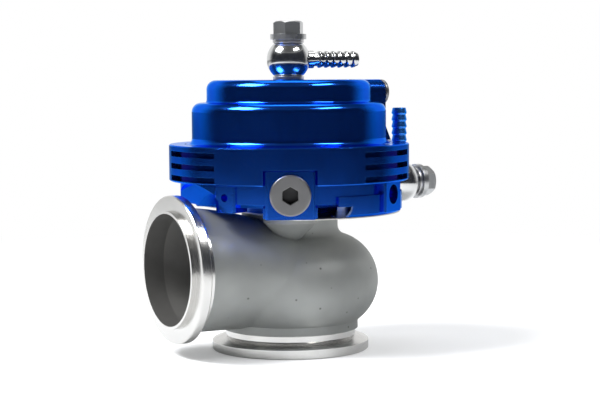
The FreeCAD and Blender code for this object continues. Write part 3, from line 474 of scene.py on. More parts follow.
class FinishMaker:
    """Turns finishes into node materials.

    Attributes:
        SKIN_DEPTH: Height of a cast or moulded skin's bumps.
        LINE_DEPTH: Height of the tool lines.
        SPECK: Colour of a casting's specks.
    """

    SKIN_DEPTH = 0.1 * MM
    LINE_DEPTH = 0.03 * MM
    SPECK: Colour = (0.02, 0.02, 0.02)

    def __init__(self, effects: Effects) -> None:
        """Keep the shared groups.

        Args:
            effects: The shared shader node groups.
        """
        self.effects = effects
        self.made: dict[str, Material] = {}

    def group(self, graph: Graph, effect: Effect, **feeds: Feed) -> bpy_prop_collection:
        """Place a shared group in a material.

        Args:
            graph: The material's graph.
            effect: Which group.
            **feeds: A socket or a value for each of its inputs, by name.

        Returns:
            The group's outputs, by name.
        """
        return graph.add("Group", feeds, node_tree=self.effects.get(effect)).outputs

    def make(self, finish: Finish, axis: Matrix | None = None, name: str = "") -> Material:
        """Build or fetch a finish's material.

        Args:
            finish: The finish.
            axis: Where the tool lines turn, if not about the frame's Z axis.
            name: A name of its own for a material with its own axis.

        Returns:
            The node material.
        """
        name = name or finish.name
        if name in self.made:
            return self.made[name]
        material, graph = new_material(name)
        place = graph.add("TexCoord").outputs["Object"]
        cloud = self.group(graph, Effect.MOTTLE, Place=place, Scale=finish.mottle_scale)["Value"]
        colour = graph.mix(cloud, finish.colour, finish.dark)
        normal = None
        if finish.skin:
            skin = self.group(graph, Effect.CAST_SKIN, Place=place, Grain=finish.grain)
            normal = graph.bump(skin["Height"], finish.skin, self.SKIN_DEPTH, normal)
            if finish.pits:
                colour = graph.mix(graph.calc("MULTIPLY", skin["Pits"], finish.pits), colour, self.SPECK)
        if finish.lines:
            where = place
            if axis is not None:
                back = axis.inverted()
                turned = {"Vector": place, "Location": back.to_translation(), "Rotation": back.to_euler()}
                where = graph.add("Mapping", turned).outputs["Vector"]
            lines = self.group(graph, Effect.TURNED_LINES, Place=where, Lines=finish.lines)
            normal = graph.bump(lines["Height"], finish.line_depth, self.LINE_DEPTH, normal)
        # A lighter colour along sharp edges: partly worn edges, partly a painted highlight.
        edge_wear_highlight = self.group(graph, Effect.EDGE_WEAR_AND_HIGHLIGHT, Radius=finish.edge_radius, Gain=finish.edge_wear_highlight_gain)
        feeds = {
            "Base Color": graph.mix(edge_wear_highlight["Mask"], colour, finish.edge),
            "Roughness": graph.calc("MULTIPLY_ADD", cloud, finish.roughness_spread, finish.roughness),
            "Metallic": finish.metallic,
            "Coat Weight": finish.coat,
            "Coat Roughness": finish.coat_roughness,
            "Sheen Weight": finish.sheen,
            "Specular Tint": (*finish.rim, 1.0),
        }
        if normal is not None:
            feeds["Normal"] = normal
        graph.feed(graph.tree.nodes["Principled BSDF"], feeds)
        self.made[name] = material
        return material


# The blue finishes' bright, strongly gained edge colour is a painted highlight along every edge.
ANODISED = Finish("blue_anodised", Slot.BLUE, (0.018, 0.14, 0.78), (0.015, 0.115, 0.68), (0.08, 0.34, 1.0),
                  0.14, roughness_spread=0.04, metallic=0.985, coat=0.03, coat_roughness=0.08,
                  edge_radius=0.00035, edge_wear_highlight_gain=2.8, lines=1500.0, line_depth=0.04, rim=(0.12, 0.48, 1.0))
# Painted shade: a much darker, less glossy blue that stands for the shade in the collar's grooves.
GROOVE_PAINTED_SHADE = replace(ANODISED, name="anodised_groove_painted_shade", colour=(0.004, 0.036, 0.24), dark=(0.003, 0.03, 0.2),
                 edge=(0.02, 0.12, 0.6), metallic=0.9, coat=0.0, rim=(0.04, 0.18, 0.6))
# Painted light: a brighter, less metallic blue that stands for light on the hub in the housing's shade.
HUB_PAINTED_LIGHT = replace(ANODISED, name="hub_painted_light_anodised", colour=(0.03, 0.2, 1.0), dark=(0.025, 0.17, 0.9),
                      roughness=0.3, metallic=0.3, coat=0.0)
LIGHT_BLUE = Finish("pale_blue_anodised", Slot.BLUE, (0.05, 0.26, 0.85), (0.04, 0.22, 0.78),
                    (0.14, 0.42, 1.0), 0.34, roughness_spread=0.05, edge_radius=0.00025, edge_wear_highlight_gain=1.4,
                    rim=(0.25, 0.6, 1.0))
CASTING = Finish("blasted_casting", Slot.CAST, (0.36, 0.372, 0.363), (0.25, 0.26, 0.253), (0.5, 0.51, 0.5),
                 0.48, roughness_spread=0.1, metallic=0.55, edge_wear_highlight_gain=1.2, mottle_scale=30.0, skin=0.45,
                 grain=2400.0, pits=0.7)
# Painted shade: the passages' much darker colour stands for the shade inside the bore and chamber.
BORE_PAINTED_SHADE = Finish("cast_bore_painted_shade", Slot.CAST, (0.14, 0.138, 0.133), (0.11, 0.108, 0.104), (0.19, 0.188, 0.18),
                   0.6, roughness_spread=0.08, metallic=0.5, mottle_scale=50.0, skin=0.3, edge_wear_highlight_gain=1.0)
TURNED_STEEL = Finish("turned_flange", Slot.CAST, (0.66, 0.655, 0.64), (0.6, 0.595, 0.58), (0.8, 0.795, 0.78),
                      0.22, roughness_spread=0.05, lines=3200.0, line_depth=0.1, edge_wear_highlight_gain=1.5)
SHEET = Finish("rolled_sheet", Slot.SHEET, (0.66, 0.65, 0.63), (0.58, 0.57, 0.55), (0.8, 0.79, 0.77), 0.28)
POLISHED = Finish("polished_fitting", Slot.POLISHED, (0.66, 0.67, 0.67), (0.58, 0.59, 0.59),
                  (0.82, 0.83, 0.83), 0.13, roughness_spread=0.05, edge_wear_highlight_gain=1.5)
BOLT = Finish("bright_bolt", Slot.POLISHED, (0.56, 0.57, 0.575), (0.48, 0.49, 0.495), (0.8, 0.81, 0.81), 0.3,
              roughness_spread=0.05, edge_wear_highlight_gain=1.5)
SATIN = Finish("satin_plug", Slot.SATIN, (0.27, 0.27, 0.275), (0.22, 0.22, 0.225), (0.5, 0.5, 0.5), 0.36,
               lines=5200.0, line_depth=0.3)
# Partly painted shade: the socket's rougher broached skin is real, its dark colour stands for the shade in
# the recess.
SOCKET_PAINTED_SHADE = Finish("broached_socket_painted_shade", Slot.SATIN, (0.1, 0.1, 0.102), (0.05, 0.05, 0.052), (0.4, 0.4, 0.4), 0.5,
                skin=0.6, grain=1800.0, edge_wear_highlight_gain=1.5)
SOFT_WASHER = Finish("soft_washer", Slot.WASHER, (0.6, 0.6, 0.61), (0.5, 0.5, 0.51), (0.72, 0.72, 0.73), 0.3)
SCREW = Finish("plain_screw", Slot.SCREW, (0.3, 0.3, 0.31), (0.24, 0.24, 0.25), (0.5, 0.5, 0.51), 0.3)
SEAT = Finish("ground_seat", Slot.SEAT, (0.52, 0.5, 0.48), (0.4, 0.37, 0.33), (0.7, 0.69, 0.67), 0.22,
              lines=4200.0, line_depth=0.2)
VALVE = Finish("ground_valve", Slot.VALVE, (0.46, 0.44, 0.42), (0.33, 0.29, 0.25), (0.6, 0.58, 0.55), 0.28,
               lines=3600.0, line_depth=0.2)
BRONZE = Finish("guide_bronze", Slot.BRONZE, (0.62, 0.42, 0.17), (0.5, 0.32, 0.12), (0.78, 0.56, 0.28), 0.3,
                lines=3000.0, line_depth=0.2)
ALLOY = Finish("plain_alloy", Slot.ALLOY, (0.7, 0.7, 0.71), (0.64, 0.64, 0.65), (0.84, 0.84, 0.85), 0.3,
               lines=2600.0, line_depth=0.25)
SPRING_WIRE = Finish("spring_wire", Slot.SPRING, (0.16, 0.16, 0.17), (0.1, 0.1, 0.11), (0.3, 0.3, 0.31), 0.28)
SEAL = Finish("seal_rubber", Slot.SEAL, (0.025, 0.025, 0.026), (0.018, 0.018, 0.018), (0.05, 0.05, 0.05), 0.5,
              metallic=0.0, skin=0.2)
FABRIC_RUBBER = Finish("diaphragm_rubber", Slot.DIAPHRAGM, (0.42, 0.1, 0.04), (0.34, 0.08, 0.035),
                       (0.5, 0.16, 0.08), 0.55, metallic=0.0, skin=0.6, grain=1400.0, sheen=0.2)


# ---------------------------------------------------------------- pieces


@dataclass
class Workshop:
    """Makes the visible pieces from the frame and dresses them.

    Attributes:
        nodes: The frame's mesh objects by name.
        finishes: The material maker.
        merge: Points closer than this are one.
        on_seam: A seam's cut takes in points closer than this.
        flat: Faces that meet at less than this many degrees become one before edges are rounded.
        sharp: Edges that turn by at least this many degrees are rounded, and stay sharp in the shading.
    """

    nodes: dict[str, Object]
    finishes: FinishMaker
    merge: float = 0.002 * MM
    on_seam: float = 0.001 * MM
    flat: float = 0.5
    sharp: float = 32.0

    def keep(self, node: str, finish: Finish) -> None:
        """Leave a frame node's form as it is and give it a finish.

        Args:
            node: The frame node.
            finish: Its finish.
        """
        shape = self.nodes[node]
        shape.data.materials.clear()
        self.add_finish(shape, finish)
        LOG.info("%s keeps its form, in %s", node, finish.name)

    def add_finish(self, piece: Object, finish: Finish) -> int:
        """Add a finish to those of a piece.

        Args:
            piece: The piece.
            finish: The finish.

        Returns:
            The number by which the piece's faces take it.
        """
        piece.data.materials.append(self.finishes.make(finish))
        return len(piece.data.materials) - 1

    def stand_in(self, piece: Object, node: str, finish: Finish) -> None:
        """Let a piece take a frame node's place, on the same body.

        Args:
            piece: The piece, with its final mesh.
            node: The frame node.
            finish: The piece's main finish. It is not used.
        """
        body = Body(self.nodes[node]["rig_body"])
        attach(piece, body.value)
        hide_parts(node)
        LOG.info("%s stands for %s", piece.name, node)

    def round_edges(self, node: str, name: str, radius: float, finish: Finish, axis: Matrix | None = None,
                    seams: Sequence[tuple[Vector, Vector]] = (),
                    cutter: Object | None = None) -> Object:
        """Copy a rigid frame node and round its sharp edges, as tumbling or a lathe tool leaves them.

        Args:
            node: The frame node that the piece stands for.
            name: The new piece's name.
            radius: How far the rounding reaches from an edge, in metres, or 0 to leave the edges unrounded.
            finish: The piece's finish.
            axis: Where its tool lines turn, if not about the frame's Z axis.
            seams: A point and a normal of each plane where the finish changes.
            cutter: A form to cut away from it first, or None.

        Returns:
            The new piece, riding on the node's body.
        """
        mesh = self.nodes[node].data.copy()
        mesh.name = name
        form = bmesh.new()
        form.from_mesh(mesh)
        bmesh.ops.remove_doubles(form, verts=form.verts, dist=self.merge)
        if radius:
            flat = math.radians(self.flat)
            bmesh.ops.dissolve_limit(form, angle_limit=flat, verts=form.verts, edges=form.edges)
        for point, normal in seams:
            parts = [*form.verts, *form.edges, *form.faces]
            bmesh.ops.bisect_plane(form, geom=parts, dist=self.on_seam, plane_co=point, plane_no=normal)
        form.to_mesh(mesh)
        form.free()
        mesh.materials.clear()
        own_name = "" if axis is None else f"{finish.name}_{node}"
        mesh.materials.append(self.finishes.make(finish, axis, own_name))
        for polygon in mesh.polygons:
            polygon.material_index = 0
        piece = add_object(mesh)
        if cutter is not None:
            cut = piece.modifiers.new("cut", "BOOLEAN")
            cut.operation = "DIFFERENCE"
            cut.solver = "EXACT"
            cut.object = cutter
        if radius:
            bevel = piece.modifiers.new("edges", "BEVEL")
            bevel.width = radius
            bevel.segments = 2
            bevel.limit_method = "ANGLE"
            bevel.angle_limit = math.radians(self.sharp)
            bevel.use_clamp_overlap = True
        self.apply(piece)
        if cutter is not None:
            bpy.data.meshes.remove(cutter.data)
        self.smooth(piece, self.sharp)
        weighted = piece.modifiers.new("normals", "WEIGHTED_NORMAL")
        weighted.keep_sharp = True
        weighted.weight = 80
        self.apply(piece)
        self.stand_in(piece, node, finish)
        return piece

    @staticmethod
    def apply(piece: Object) -> None:
        """Apply all of a piece's modifiers.

        Args:
            piece: The piece.
        """
        seen = bpy.context.evaluated_depsgraph_get()
        solid = bpy.data.meshes.new_from_object(piece.evaluated_get(seen))
        old = piece.data
        solid.name = old.name
        piece.modifiers.clear()
        piece.data = solid
        bpy.data.meshes.remove(old)

    @staticmethod
    def smooth(piece: Object, degrees: float) -> None:
        """Shade a piece smooth, except across edges sharper than an angle.

        Args:
            piece: The piece.
            degrees: The angle.
        """
        form = bmesh.new()
        form.from_mesh(piece.data)
        form.normal_update()
        for face in form.faces:
            face.smooth = True
        for edge in form.edges:
            edge.smooth = len(edge.link_faces) == 2 and edge.calc_face_angle() < math.radians(degrees)
        form.to_mesh(piece.data)
        form.free()


@dataclass
class Assembly:
    """A sub-assembly.

    Attributes:
        shop: Where its pieces are made.
    """

    shop: Workshop


@dataclass
class Casting(Assembly):
    """The cast body, its seat, guide and heat shield.

    Attributes:
        inlet_land: Height of the machined metal above the inlet face.
        outlet_land: Depth of the machined metal behind the outlet lip.
        outlet_height: Height of the outlet's axis.
        bore_radius: Within this radius the outlet shows its bore.
        lip: Depth of the outlet's lip, which is turned all through.
        guide_reach: Within this radius of the stem and above the ceiling lies the guide's bore.
        ceiling: Height of the chamber's roof at the guide.
        duct_start: Distance from the stem at which the outlet pipe leaves the chamber.
        shield_edge: Rounding of the heat shield's edges.
        seat_edge: Rounding of the seat ring's edges.
    """

    inlet_land: float = 8.6 * MM
    outlet_land: float = 8.8 * MM
    outlet_height: float = 35.3 * MM
    bore_radius: float = 22.9 * MM
    lip: float = 0.35 * MM
    guide_reach: float = 8.0 * MM
    ceiling: float = 45.0 * MM
    duct_start: float = 30.0 * MM
    shield_edge: float = 0.15 * MM
    seat_edge: float = 0.2 * MM

    def build(self) -> None:
        """Make and dress every piece of the casting."""
        low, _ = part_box("valve_body")
        outlet_x = low.x + self.outlet_land
        seams = (
            (Vector((0.0, 0.0, self.inlet_land)), Vector((0.0, 0.0, 1.0))),
            (Vector((outlet_x, 0.0, 0.0)), Vector((1.0, 0.0, 0.0))),
        )
        body = self.shop.round_edges("valve_body", "cast_body", 0.0, CASTING, seams=seams)
        self.dress_body(body, low.x, outlet_x)
        self.shop.round_edges("heat_shield", "heat_shield_plate", self.shield_edge, SHEET)
        self.shop.round_edges("valve_seat", "seat_ring", self.seat_edge, SEAT)
        self.shop.keep("valve_guide", BRONZE)
        self.shop.keep("mounting_screws", SCREW)

    def dress_body(self, body: Object, lip_x: float, outlet_x: float) -> None:
        """Give flanges a turned finish and the passages a much darker cast one, whose dark colour is painted
        shade inside them.

        Args:
            body: The cast body.
            lip_x: Where the outlet's lip ends.
            outlet_x: Where the outlet flange's machined metal ends.
        """
        turned = self.shop.add_finish(body, TURNED_STEEL)
        bore_shade = self.shop.add_finish(body, BORE_PAINTED_SHADE)
        passage = self.passage(body, outlet_x)
        for face in body.data.polygons:
            centre = face.center
            from_axis = math.hypot(centre.y, centre.z - self.outlet_height)
            in_mouth = lip_x + self.lip < centre.x < outlet_x and from_axis < self.bore_radius
            if in_mouth or face.index in passage:
                face.material_index = bore_shade
            elif centre.x < outlet_x or centre.z < self.inlet_land:
                face.material_index = turned

    def passage(self, body: Object, outlet_x: float) -> set[int]:
        """Find the faces that line the casting's passages, by walking over them from inside the outlet pipe.

        Args:
            body: The cast body.
            outlet_x: Where the outlet flange's machined metal ends.

        Returns:
            The numbers of the faces inside the chamber and the outlet duct.
        """
        form = bmesh.new()
        form.from_mesh(body.data)
        in_pipe = Vector((-self.duct_start, 0.0, self.outlet_height))
        first = min(form.faces, key=lambda face: (face.calc_center_median() - in_pipe).length)
        found = {first.index}
        ahead = [first]
        while ahead:
            for edge in ahead.pop().edges:
                for face in edge.link_faces:
                    centre = face.calc_center_median()
                    in_guide = math.hypot(centre.x, centre.y) < self.guide_reach and centre.z > self.ceiling
                    outside = centre.x < outlet_x or centre.z < self.inlet_land or in_guide
                    if face.index not in found and not outside:
                        found.add(face.index)
                        ahead.append(face)
        form.free()
        return found


@dataclass
class Actuator(Assembly):
    """The blue housing, its locking collar and its lid.

    Attributes:
        edge: Rounding of the housing's and the lid's edges.
        collar_edge: Rounding of the collar's edges.
        fins: Azimuths of the middles of the collar's finned sections, in degrees.
        fin_half: Half of such a section, in degrees.
        groove_depth: Depth of the grooves between the fins.
        skin: Depth below the collar's outside at which a groove's wall starts.
        underside: Height of the housing's underside.
        hub_radius: Below the underside, faces within this radius belong to the hub.
        hub_slope: A hub face whose normal rises or falls by more than this keeps the main blue.
        scallop: Radius of the round that the end of the long wall is milled with, along the front port.
        scallop_aside: Distance of its centre from the port's axis.
        scallop_reach: Nearest and farthest distance from the valve's axis that it cuts.
        scallop_steps: Flats that it is made of.
    """

    edge: float = 0.45 * MM
    collar_edge: float = 0.3 * MM
    fins: tuple[float, ...] = (-84.0, 28.0, -148.0)
    fin_half: float = 19.6
    groove_depth: float = 2.7 * MM
    skin: float = 0.4 * MM
    underside: float = 61.0 * MM
    hub_radius: float = 26.0 * MM
    hub_slope: float = 0.5
    scallop: float = 4.8 * MM
    scallop_aside: float = 19.4 * MM
    scallop_reach: tuple[float, float] = (26.0 * MM, 48.0 * MM)
    scallop_steps: int = 24

    def build(self) -> None:
        """Make and dress every piece of the actuator's shell."""
        housing = self.shop.round_edges("actuator_housing", "lower_housing", self.edge, ANODISED,
                                        cutter=self.scallop_form())
        # The hub takes a painted light.
        self.paint_hub_light(housing)
        collar = self.shop.round_edges("locking_collar", "clamp_collar", self.collar_edge, ANODISED)
        # The collar's grooves take a painted shade.
        self.paint_groove_shade(collar)
        self.shop.round_edges("actuator_lid", "upper_lid", self.edge, ANODISED)
        self.shop.keep("collar_grub_screws", SCREW)
        self.shop.keep("stem_bushing", BRONZE)
        self.shop.keep("stem_seal", SEAL)

    def scallop_form(self) -> Object:
        """Make the half round that the end of the long wall is cut back with.

        Returns:
            A closed form that lies below the housing's underside.
        """
        turn = math.radians(PORT_AZIMUTH)
        out = heading(turn)
        side = Vector((math.cos(turn), math.sin(turn), 0.0))
        form = bmesh.new()
        rings = []
        for reach in self.scallop_reach:
            ring = []
            for step in range(self.scallop_steps + 1):
                angle = math.pi * step / self.scallop_steps
                spot = out * reach + side * (self.scallop_aside + self.scallop * math.cos(angle))
                spot.z = self.underside - self.scallop * math.sin(angle)
                ring.append(form.verts.new(spot))
            rings.append(ring)
        join_rings(form, rings)
        return add_form("scallop_form", form)

    def paint_hub_light(self, housing: Object) -> None:
        """Paint light onto the hub below the housing with a brighter, less metallic blue, as the lamps seldom
        reach it.

        Args:
            housing: The housing.
        """
        hub_light = self.shop.add_finish(housing, HUB_PAINTED_LIGHT)
        for face in housing.data.polygons:
            centre = face.center
            inside = math.hypot(centre.x, centre.y) < self.hub_radius
            if inside and centre.z < self.underside and abs(face.normal.z) < self.hub_slope:
                face.material_index = hub_light

    def paint_groove_shade(self, collar: Object) -> None:
        """Paint shade into the grooves between the collar's fins with a much darker blue.

        Args:
            collar: The collar.
        """
        low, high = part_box("locking_collar")
        # The groove faces take the painted shade.
        groove = self.shop.add_finish(collar, GROOVE_PAINTED_SHADE)
        for face in collar.data.polygons:
            centre = face.center
            depth = high.x - math.hypot(centre.x, centre.y)
            azimuth = math.degrees(math.atan2(centre.x, -centre.y))
            finned = any(abs((azimuth - fin + 180.0) % 360.0 - 180.0) < self.fin_half for fin in self.fins)
            between = low.z + self.skin < centre.z < high.z - self.skin
            if finned and between and self.skin < depth < self.groove_depth:
                face.material_index = groove


@dataclass
class Fittings(Assembly):
    """The banjo fittings, hose barbs and plugs.

    Attributes:
        bolt_edge: Rounding of the banjo bolts' and eyes' edges.
        barb_edge: Rounding of the side barb's edges.
        washer_edge: Rounding of the washers' edges.
        plug_edge: Rounding of the plugs' edges.
        port_socket: Faces within this radius of a port plug's axis belong to its socket.
        lid_socket: The same for the lid's plug.
        socket_edge: Depth below a plug's face at which the painted shade in its socket starts.
        centred: Plugs whose middle is nearer to the valve's axis than this stand on both sides of it.
    """

    bolt_edge: float = 0.3 * MM
    barb_edge: float = 0.15 * MM
    washer_edge: float = 0.2 * MM
    plug_edge: float = 0.25 * MM
    port_socket: float = 3.6 * MM
    lid_socket: float = 2.4 * MM
    socket_edge: float = 0.5 * MM
    centred: float = 10.0 * MM

    def build(self) -> None:
        """Make and dress every fitting."""
        for node, name, finish in (("top_banjo_bolt", "lid_banjo_bolt", BOLT),
                                   ("side_banjo_bolt", "port_banjo_bolt", BOLT),
                                   ("top_banjo_fitting", "lid_banjo_eye", POLISHED),
                                   ("side_banjo_eye", "port_banjo_eye", POLISHED)):
            self.shop.round_edges(node, name, self.bolt_edge, finish)
        self.shop.round_edges("side_hose_barb", "blue_hose_barb", self.barb_edge, LIGHT_BLUE)
        for node, name in (("top_banjo_washers", "lid_banjo_washers"),
                           ("side_banjo_washers", "port_banjo_washers"),
                           ("port_plug_seals", "plug_washers"),
                           ("lid_plug_seal", "lid_plug_washer")):
            self.shop.round_edges(node, name, self.washer_edge, SOFT_WASHER)
        self.plugs("port_plugs", "flange_plugs", self.port_socket)
        self.plugs("lid_port_plug", "lid_plug", self.lid_socket)

    def plugs(self, node: str, name: str, socket: float) -> None:
        """Make turned plugs whose sockets are darkened as painted shade, and whose tool lines run round the
        plug's own axis.

        Args:
            node: The frame node with the plugs.
            name: The new piece's name.
            socket: Radius round the axis within which faces belong to the socket.
        """
        low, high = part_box(node)
        middle = (low + high) / 2
        out = Vector((middle.x, middle.y, 0.0))
        if out.length < self.centred:
            out = heading(math.radians(PORT_AZIMUTH))
        turn = out.to_track_quat("Z", "Y").to_matrix().to_4x4()
        turn.translation = Vector((0.0, 0.0, middle.z))
        piece = self.shop.round_edges(node, name, self.plug_edge, SATIN, turn)
        # The socket faces take the painted shade.
        dark = self.shop.add_finish(piece, SOCKET_PAINTED_SHADE)
        way = turn.to_3x3().col[2]
        reach = max(abs(vertex.co.dot(way)) for vertex in piece.data.vertices)
        for face in piece.data.polygons:
            along = face.center.dot(way)
            off = face.center - way * along
            off.z -= middle.z
            if off.length < socket and abs(along) < reach - self.socket_edge:
                face.material_index = dark


@dataclass(frozen=True)
class Coil:
    """One spring's wire.

    Attributes:
        node: The frame node that it stands for.
        mean: Mean radius of the coil.
        wire: Radius of the wire.
        turns: Number of turns.
    """

    node: str
    mean: float
    wire: float
    turns: float


@dataclass
class Springs(Assembly):
    """The three nested coil springs between the piston and the lid.

    Attributes:
        coils: The springs.
        travel: How far the piston lifts. It is not used.
        closed: Part of a turn that lies flat at each end.
        sides: Flats round the wire.
        steps: Lengths of wire in a turn.
        sharp: Edges that turn by at least this many degrees stay sharp in the shading.
    """

    coils: tuple[Coil, ...] = (
        Coil("outer_spring", 24.0 * MM, 1.7 * MM, 4.5),
        Coil("middle_spring", 18.6 * MM, 1.4 * MM, 5.0),
        Coil("inner_spring", 13.4 * MM, 1.1 * MM, 6.0),
    )
    travel: float = 11.0 * MM
    closed: float = 0.5
    sides: int = 12
    steps: int = 48
    sharp: float = 50.0

    def build(self) -> None:
        """Make each spring as round wire."""
        for coil in self.coils:
            low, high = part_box(coil.node)
            piece = self.wind(coil, low.z + coil.wire, high.z - coil.wire)
            self.shop.add_finish(piece, SPRING_WIRE)
            self.shop.stand_in(piece, coil.node, SPRING_WIRE)
            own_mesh(piece)

    def wind(self, coil: Coil, low: float, high: float) -> Object:
        """Wind one coil of round wire, flat at both ends.

        Args:
            coil: Its sizes.
            low: Height of the wire's centre at the start.
            high: Height of the wire's centre at the end.

        Returns:
            The coil, with closed ends.
        """
        form = bmesh.new()
        rings = []
        count = round(coil.turns * self.steps)
        for step in range(count + 1):
            angle = 2 * math.pi * step / self.steps
            share = (step / count * coil.turns - self.closed) / (coil.turns - 2 * self.closed)
            height = low + (high - low) * min(1.0, max(0.0, share))
            ring = []
            for side in range(self.sides):
                around = 2 * math.pi * side / self.sides
                radius = coil.mean + coil.wire * math.cos(around)
                ring.append(form.verts.new((radius * math.cos(angle), radius * math.sin(angle),
                                            height + coil.wire * math.sin(around))))
            rings.append(ring)
        join_rings(form, rings)
        piece = add_form(coil.node + "_coil", form)
        self.shop.smooth(piece, self.sharp)
        return piece


@dataclass
class ValveTrain(Assembly):
    """The poppet valve and what it carries, with the rolling diaphragm.

    Attributes:
        valve_edge: Rounding of the valve's edges.
        sheet_edge: Rounding of the diaphragm's edges.
        flat_share: Share of its height that the diaphragm keeps when the valve is fully lifted. It is not
            used.
    """

    valve_edge: float = 0.15 * MM
    sheet_edge: float = 0.3 * MM
    flat_share: float = 0.14

    def build(self) -> None:
        """Make and dress the moving pieces and the diaphragm."""
        self.shop.round_edges("valve", "poppet_valve", self.valve_edge, VALVE)
        for node in ("lower_plate", "spring_piston"):
            self.shop.keep(node, ALLOY)
        for node in ("stem_washer", "stem_nut"):
            self.shop.keep(node, SCREW)
        sheet = self.shop.round_edges("diaphragm", "rolling_diaphragm", self.sheet_edge, FABRIC_RUBBER)
        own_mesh(sheet)


# ---------------------------------------------------------------- studio


@dataclass(frozen=True)
class Lamp:
    """A soft box.

    Attributes:
        name: Its name.
        azimuth: Degrees from the camera's side, to the right as positive.
        height: Degrees above level.
        distance: Metres from the object.
        size: Width and height in metres.
        watts: Its power.
    """

    name: str
    azimuth: float
    height: float
    distance: float
    size: tuple[float, float]
    watts: float


@dataclass
class Studio:
    """Floor, surround, dark flag, lamps and camera. Lengths are in metres.

    Attributes:
        yaw: The camera's azimuth in radians.
        pitch: How far it looks down, in radians.
        roll: How far it leans, in radians.
        stand: Where it stands.
        lens: Its focal length in millimetres.
        surround: Strength of the surround as a light.
        roof: Heights of the way up between which the surround's reflections dim, and their strength
            below and above.
        floor_half: Half the floor's side.
        floor_gap: How far it lies below the object.
        floor_colour: Its colour.
        floor_glow: How much brighter the camera sees it than its light makes it.
        lit_floor: Distances from the object at which the camera starts to see it white, and sees only white.
        flag_span: The dark flag's first and last azimuth from the camera's side, in degrees.
        flag_heights: Heights of its lower and upper edge.
        flag_away: Its distance from the object.
        flag_steps: Flats that it is made of.
        flag_colour: Its colour.
        soft_sides: Azimuths, in degrees, at which the flag starts to thin out, and is gone.
        aim: Where the lamps point.
        lamps: The soft boxes.
    """

    yaw: float = math.radians(-28.786)
    pitch: float = math.radians(4.63)
    roll: float = math.radians(-0.394)
    stand: tuple[float, float, float] = (-0.3197, -0.5908, 0.1117)
    lens: float = 98.55
    surround: float = 0.34
    roof: tuple[float, float, float, float] = (0.45, 0.66, 1.0, 0.12)
    floor_half: float = 6.0
    floor_gap: float = 0.02 * MM
    floor_colour: Colour = (0.86, 0.87, 0.88)
    floor_glow: float = 0.21
    lit_floor: tuple[float, float] = (0.22, 0.5)
    flag_span: tuple[float, float] = (-128.0, 128.0)
    flag_heights: tuple[float, float] = (0.012, 0.46)
    flag_away: float = 0.5
    flag_steps: int = 24
    flag_colour: Colour = (0.022, 0.024, 0.03)
    soft_sides: tuple[float, float] = (92.0, 127.0)
    aim: tuple[float, float, float] = (0.0, 0.0, 0.06)
    lamps: tuple[Lamp, ...] = (
        Lamp("key_box", -70.0, 50.0, 0.95, (0.42, 0.34), 12.5),
        Lamp("right_box", 64.0, 52.0, 1.1, (0.5, 0.16), 4.0),
        Lamp("top_box", 175.0, 70.0, 1.1, (0.7, 0.5), 3.0),
    )

    def build(self) -> None:
        """Set up everything around the object."""
        self.camera()
        self.world()
        self.floor()
        self.flag()
        for lamp in self.lamps:
            self.lamp(lamp)

    def toward(self, azimuth: float, height: float) -> Vector:
        """The way from the object to a place in the studio.

        Args:
            azimuth: Degrees from the camera's side, to the right as positive.
            height: Degrees above level.

        Returns:
            A unit vector in the frame.
        """
        level = heading(self.yaw + math.radians(azimuth))
        rise = math.radians(height)
        return level * math.cos(rise) + Vector((0.0, 0.0, math.sin(rise)))

    def camera(self) -> None:
        """Stand the camera in front of the object."""
        level = -heading(self.yaw)
        up = Vector((0.0, 0.0, 1.0))
        right = Vector((math.cos(self.yaw), math.sin(self.yaw), 0.0))
        ahead = level * math.cos(self.pitch) - up * math.sin(self.pitch)
        above = up * math.cos(self.pitch) + level * math.sin(self.pitch)
        across = right * math.cos(self.roll) + above * math.sin(self.roll)
        upward = above * math.cos(self.roll) - right * math.sin(self.roll)
        data = bpy.data.cameras.new("camera")
        data.lens = self.lens
        data.sensor_width = 36.0
        data.clip_end = 50.0
        eye = add_object(data)
        turn = Matrix((across, upward, -ahead)).transposed().to_4x4()
        turn.translation = Vector(self.stand)
        eye.matrix_world = turn
        bpy.context.scene.camera = eye

    def world(self) -> None:
        """Hang a white surround that lights the object only softly."""
        world = bpy.data.worlds.new("surround")
        world.use_nodes = True
        graph = Graph(world.node_tree)
        way = graph.add("TexCoord").outputs["Generated"]
        roof = graph.fade(graph.add("SeparateXYZ", {0: way}).outputs["Z"], *self.roof)
        path = graph.add("LightPath").outputs
        mirrored = graph.calc("MAXIMUM", path["Is Camera Ray"], path["Is Glossy Ray"])
        shown = graph.calc("MAXIMUM", mirrored, path["Is Transmission Ray"])
        bright = graph.calc("MAXIMUM", path["Is Camera Ray"], roof)
        strength = graph.add("MapRange", {"Value": shown, "To Min": self.surround, "To Max": bright})
        feeds = {"Color": (1.0, 1.0, 1.0, 1.0), "Strength": strength.outputs["Result"]}
        graph.feed(graph.tree.nodes["Background"], feeds)
        bpy.context.scene.world = world

    def floor(self) -> None:
        """Lay a pale floor that keeps the object's shadow."""
        form = bmesh.new()
        bmesh.ops.create_grid(form, x_segments=1, y_segments=1, size=self.floor_half)
        floor = add_form("floor", form)
        floor.location.z = -self.floor_gap
        material, graph = new_material("pale_floor")
        graph.tree.nodes.remove(graph.tree.nodes["Principled BSDF"])
        seen = graph.add("LightPath").outputs["Is Camera Ray"]
        plain = graph.add("BsdfDiffuse", {"Color": (*self.floor_colour, 1.0)}).outputs[0]
        glow = graph.add("Emission", {"Strength": graph.calc("MULTIPLY", seen, self.floor_glow)}).outputs[0]
        near = graph.add("AddShader", {0: plain, 1: glow}).outputs[0]
        place = graph.add("TexCoord").outputs["Object"]
        away = graph.add("VectorMath", {0: place}, operation="LENGTH").outputs["Value"]
        whiter = graph.calc("MULTIPLY", graph.fade(away, *self.lit_floor), seen)
        white = graph.add("Emission").outputs[0]
        graph.blend(whiter, near, white)
        floor.data.materials.append(material)

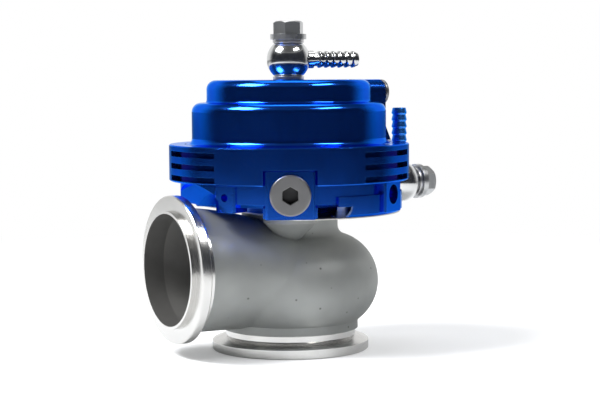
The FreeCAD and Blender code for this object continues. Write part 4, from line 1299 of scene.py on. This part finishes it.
    def flag(self) -> None:
        """Stand a dark curved flag round the object, which only reflections show."""
        start, end = self.flag_span
        form = bmesh.new()
        columns = []
        for step in range(self.flag_steps + 1):
            spot = self.toward(start + (end - start) * step / self.flag_steps, 0.0) * self.flag_away
            columns.append([form.verts.new((spot.x, spot.y, height)) for height in self.flag_heights])
        for first, second in zip(columns, columns[1:]):
            form.faces.new((first[0], second[0], second[1], first[1]))
        flag = add_form("flag_1", form)
        flag.data.materials.append(self.flag_cloth())
        flag.visible_camera = False
        flag.visible_diffuse = False
        flag.visible_shadow = False

    def flag_cloth(self) -> Material:
        """Make dark cloth that thins out towards the flag's sides, so that its reflection has no hard edge.

        Returns:
            The material.
        """
        material, graph = new_material("dark_flag")
        cloth = graph.tree.nodes["Principled BSDF"]
        feeds = {"Base Color": (*self.flag_colour, 1.0), "Roughness": 1.0, "Specular IOR Level": 0.0}
        graph.feed(cloth, feeds)
        place = graph.add("TexCoord").outputs["Object"]
        ahead = graph.add("VectorMath", {0: place}, operation="NORMALIZE").outputs[0]
        front = {0: ahead, 1: self.toward(0.0, 0.0)}
        turned = graph.add("VectorMath", front, operation="DOT_PRODUCT").outputs["Value"]
        start, end = (math.radians(side) for side in self.soft_sides)
        gone = graph.fade(graph.calc("ARCCOSINE", turned), start, end)
        graph.blend(gone, cloth.outputs[0], graph.add("BsdfTransparent").outputs[0])
        return material

    def lamp(self, lamp: Lamp) -> None:
        """Hang one soft box that faces the object.

        Args:
            lamp: Its place, size and power.
        """
        data = bpy.data.lights.new(lamp.name, "AREA")
        data.shape = "RECTANGLE"
        data.size, data.size_y = lamp.size
        data.energy = lamp.watts
        box = add_object(data)
        box.location = Vector(self.aim) + self.toward(lamp.azimuth, lamp.height) * lamp.distance
        box.rotation_euler = (Vector(self.aim) - box.location).to_track_quat("-Z", "Y").to_euler()


def main() -> None:
    """Build every sub-assembly round the frame, then the studio."""
    logging.basicConfig(level=logging.INFO, format="%(message)s")
    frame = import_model()
    shop = Workshop(frame["nodes"], FinishMaker(Effects()))
    for assembly in (Casting(shop), Actuator(shop), Fittings(shop), Springs(shop), ValveTrain(shop)):
        assembly.build()
    Studio().build()
    bpy.context.scene.view_settings.view_transform = "Standard"


if __name__ == "__main__":
    main()
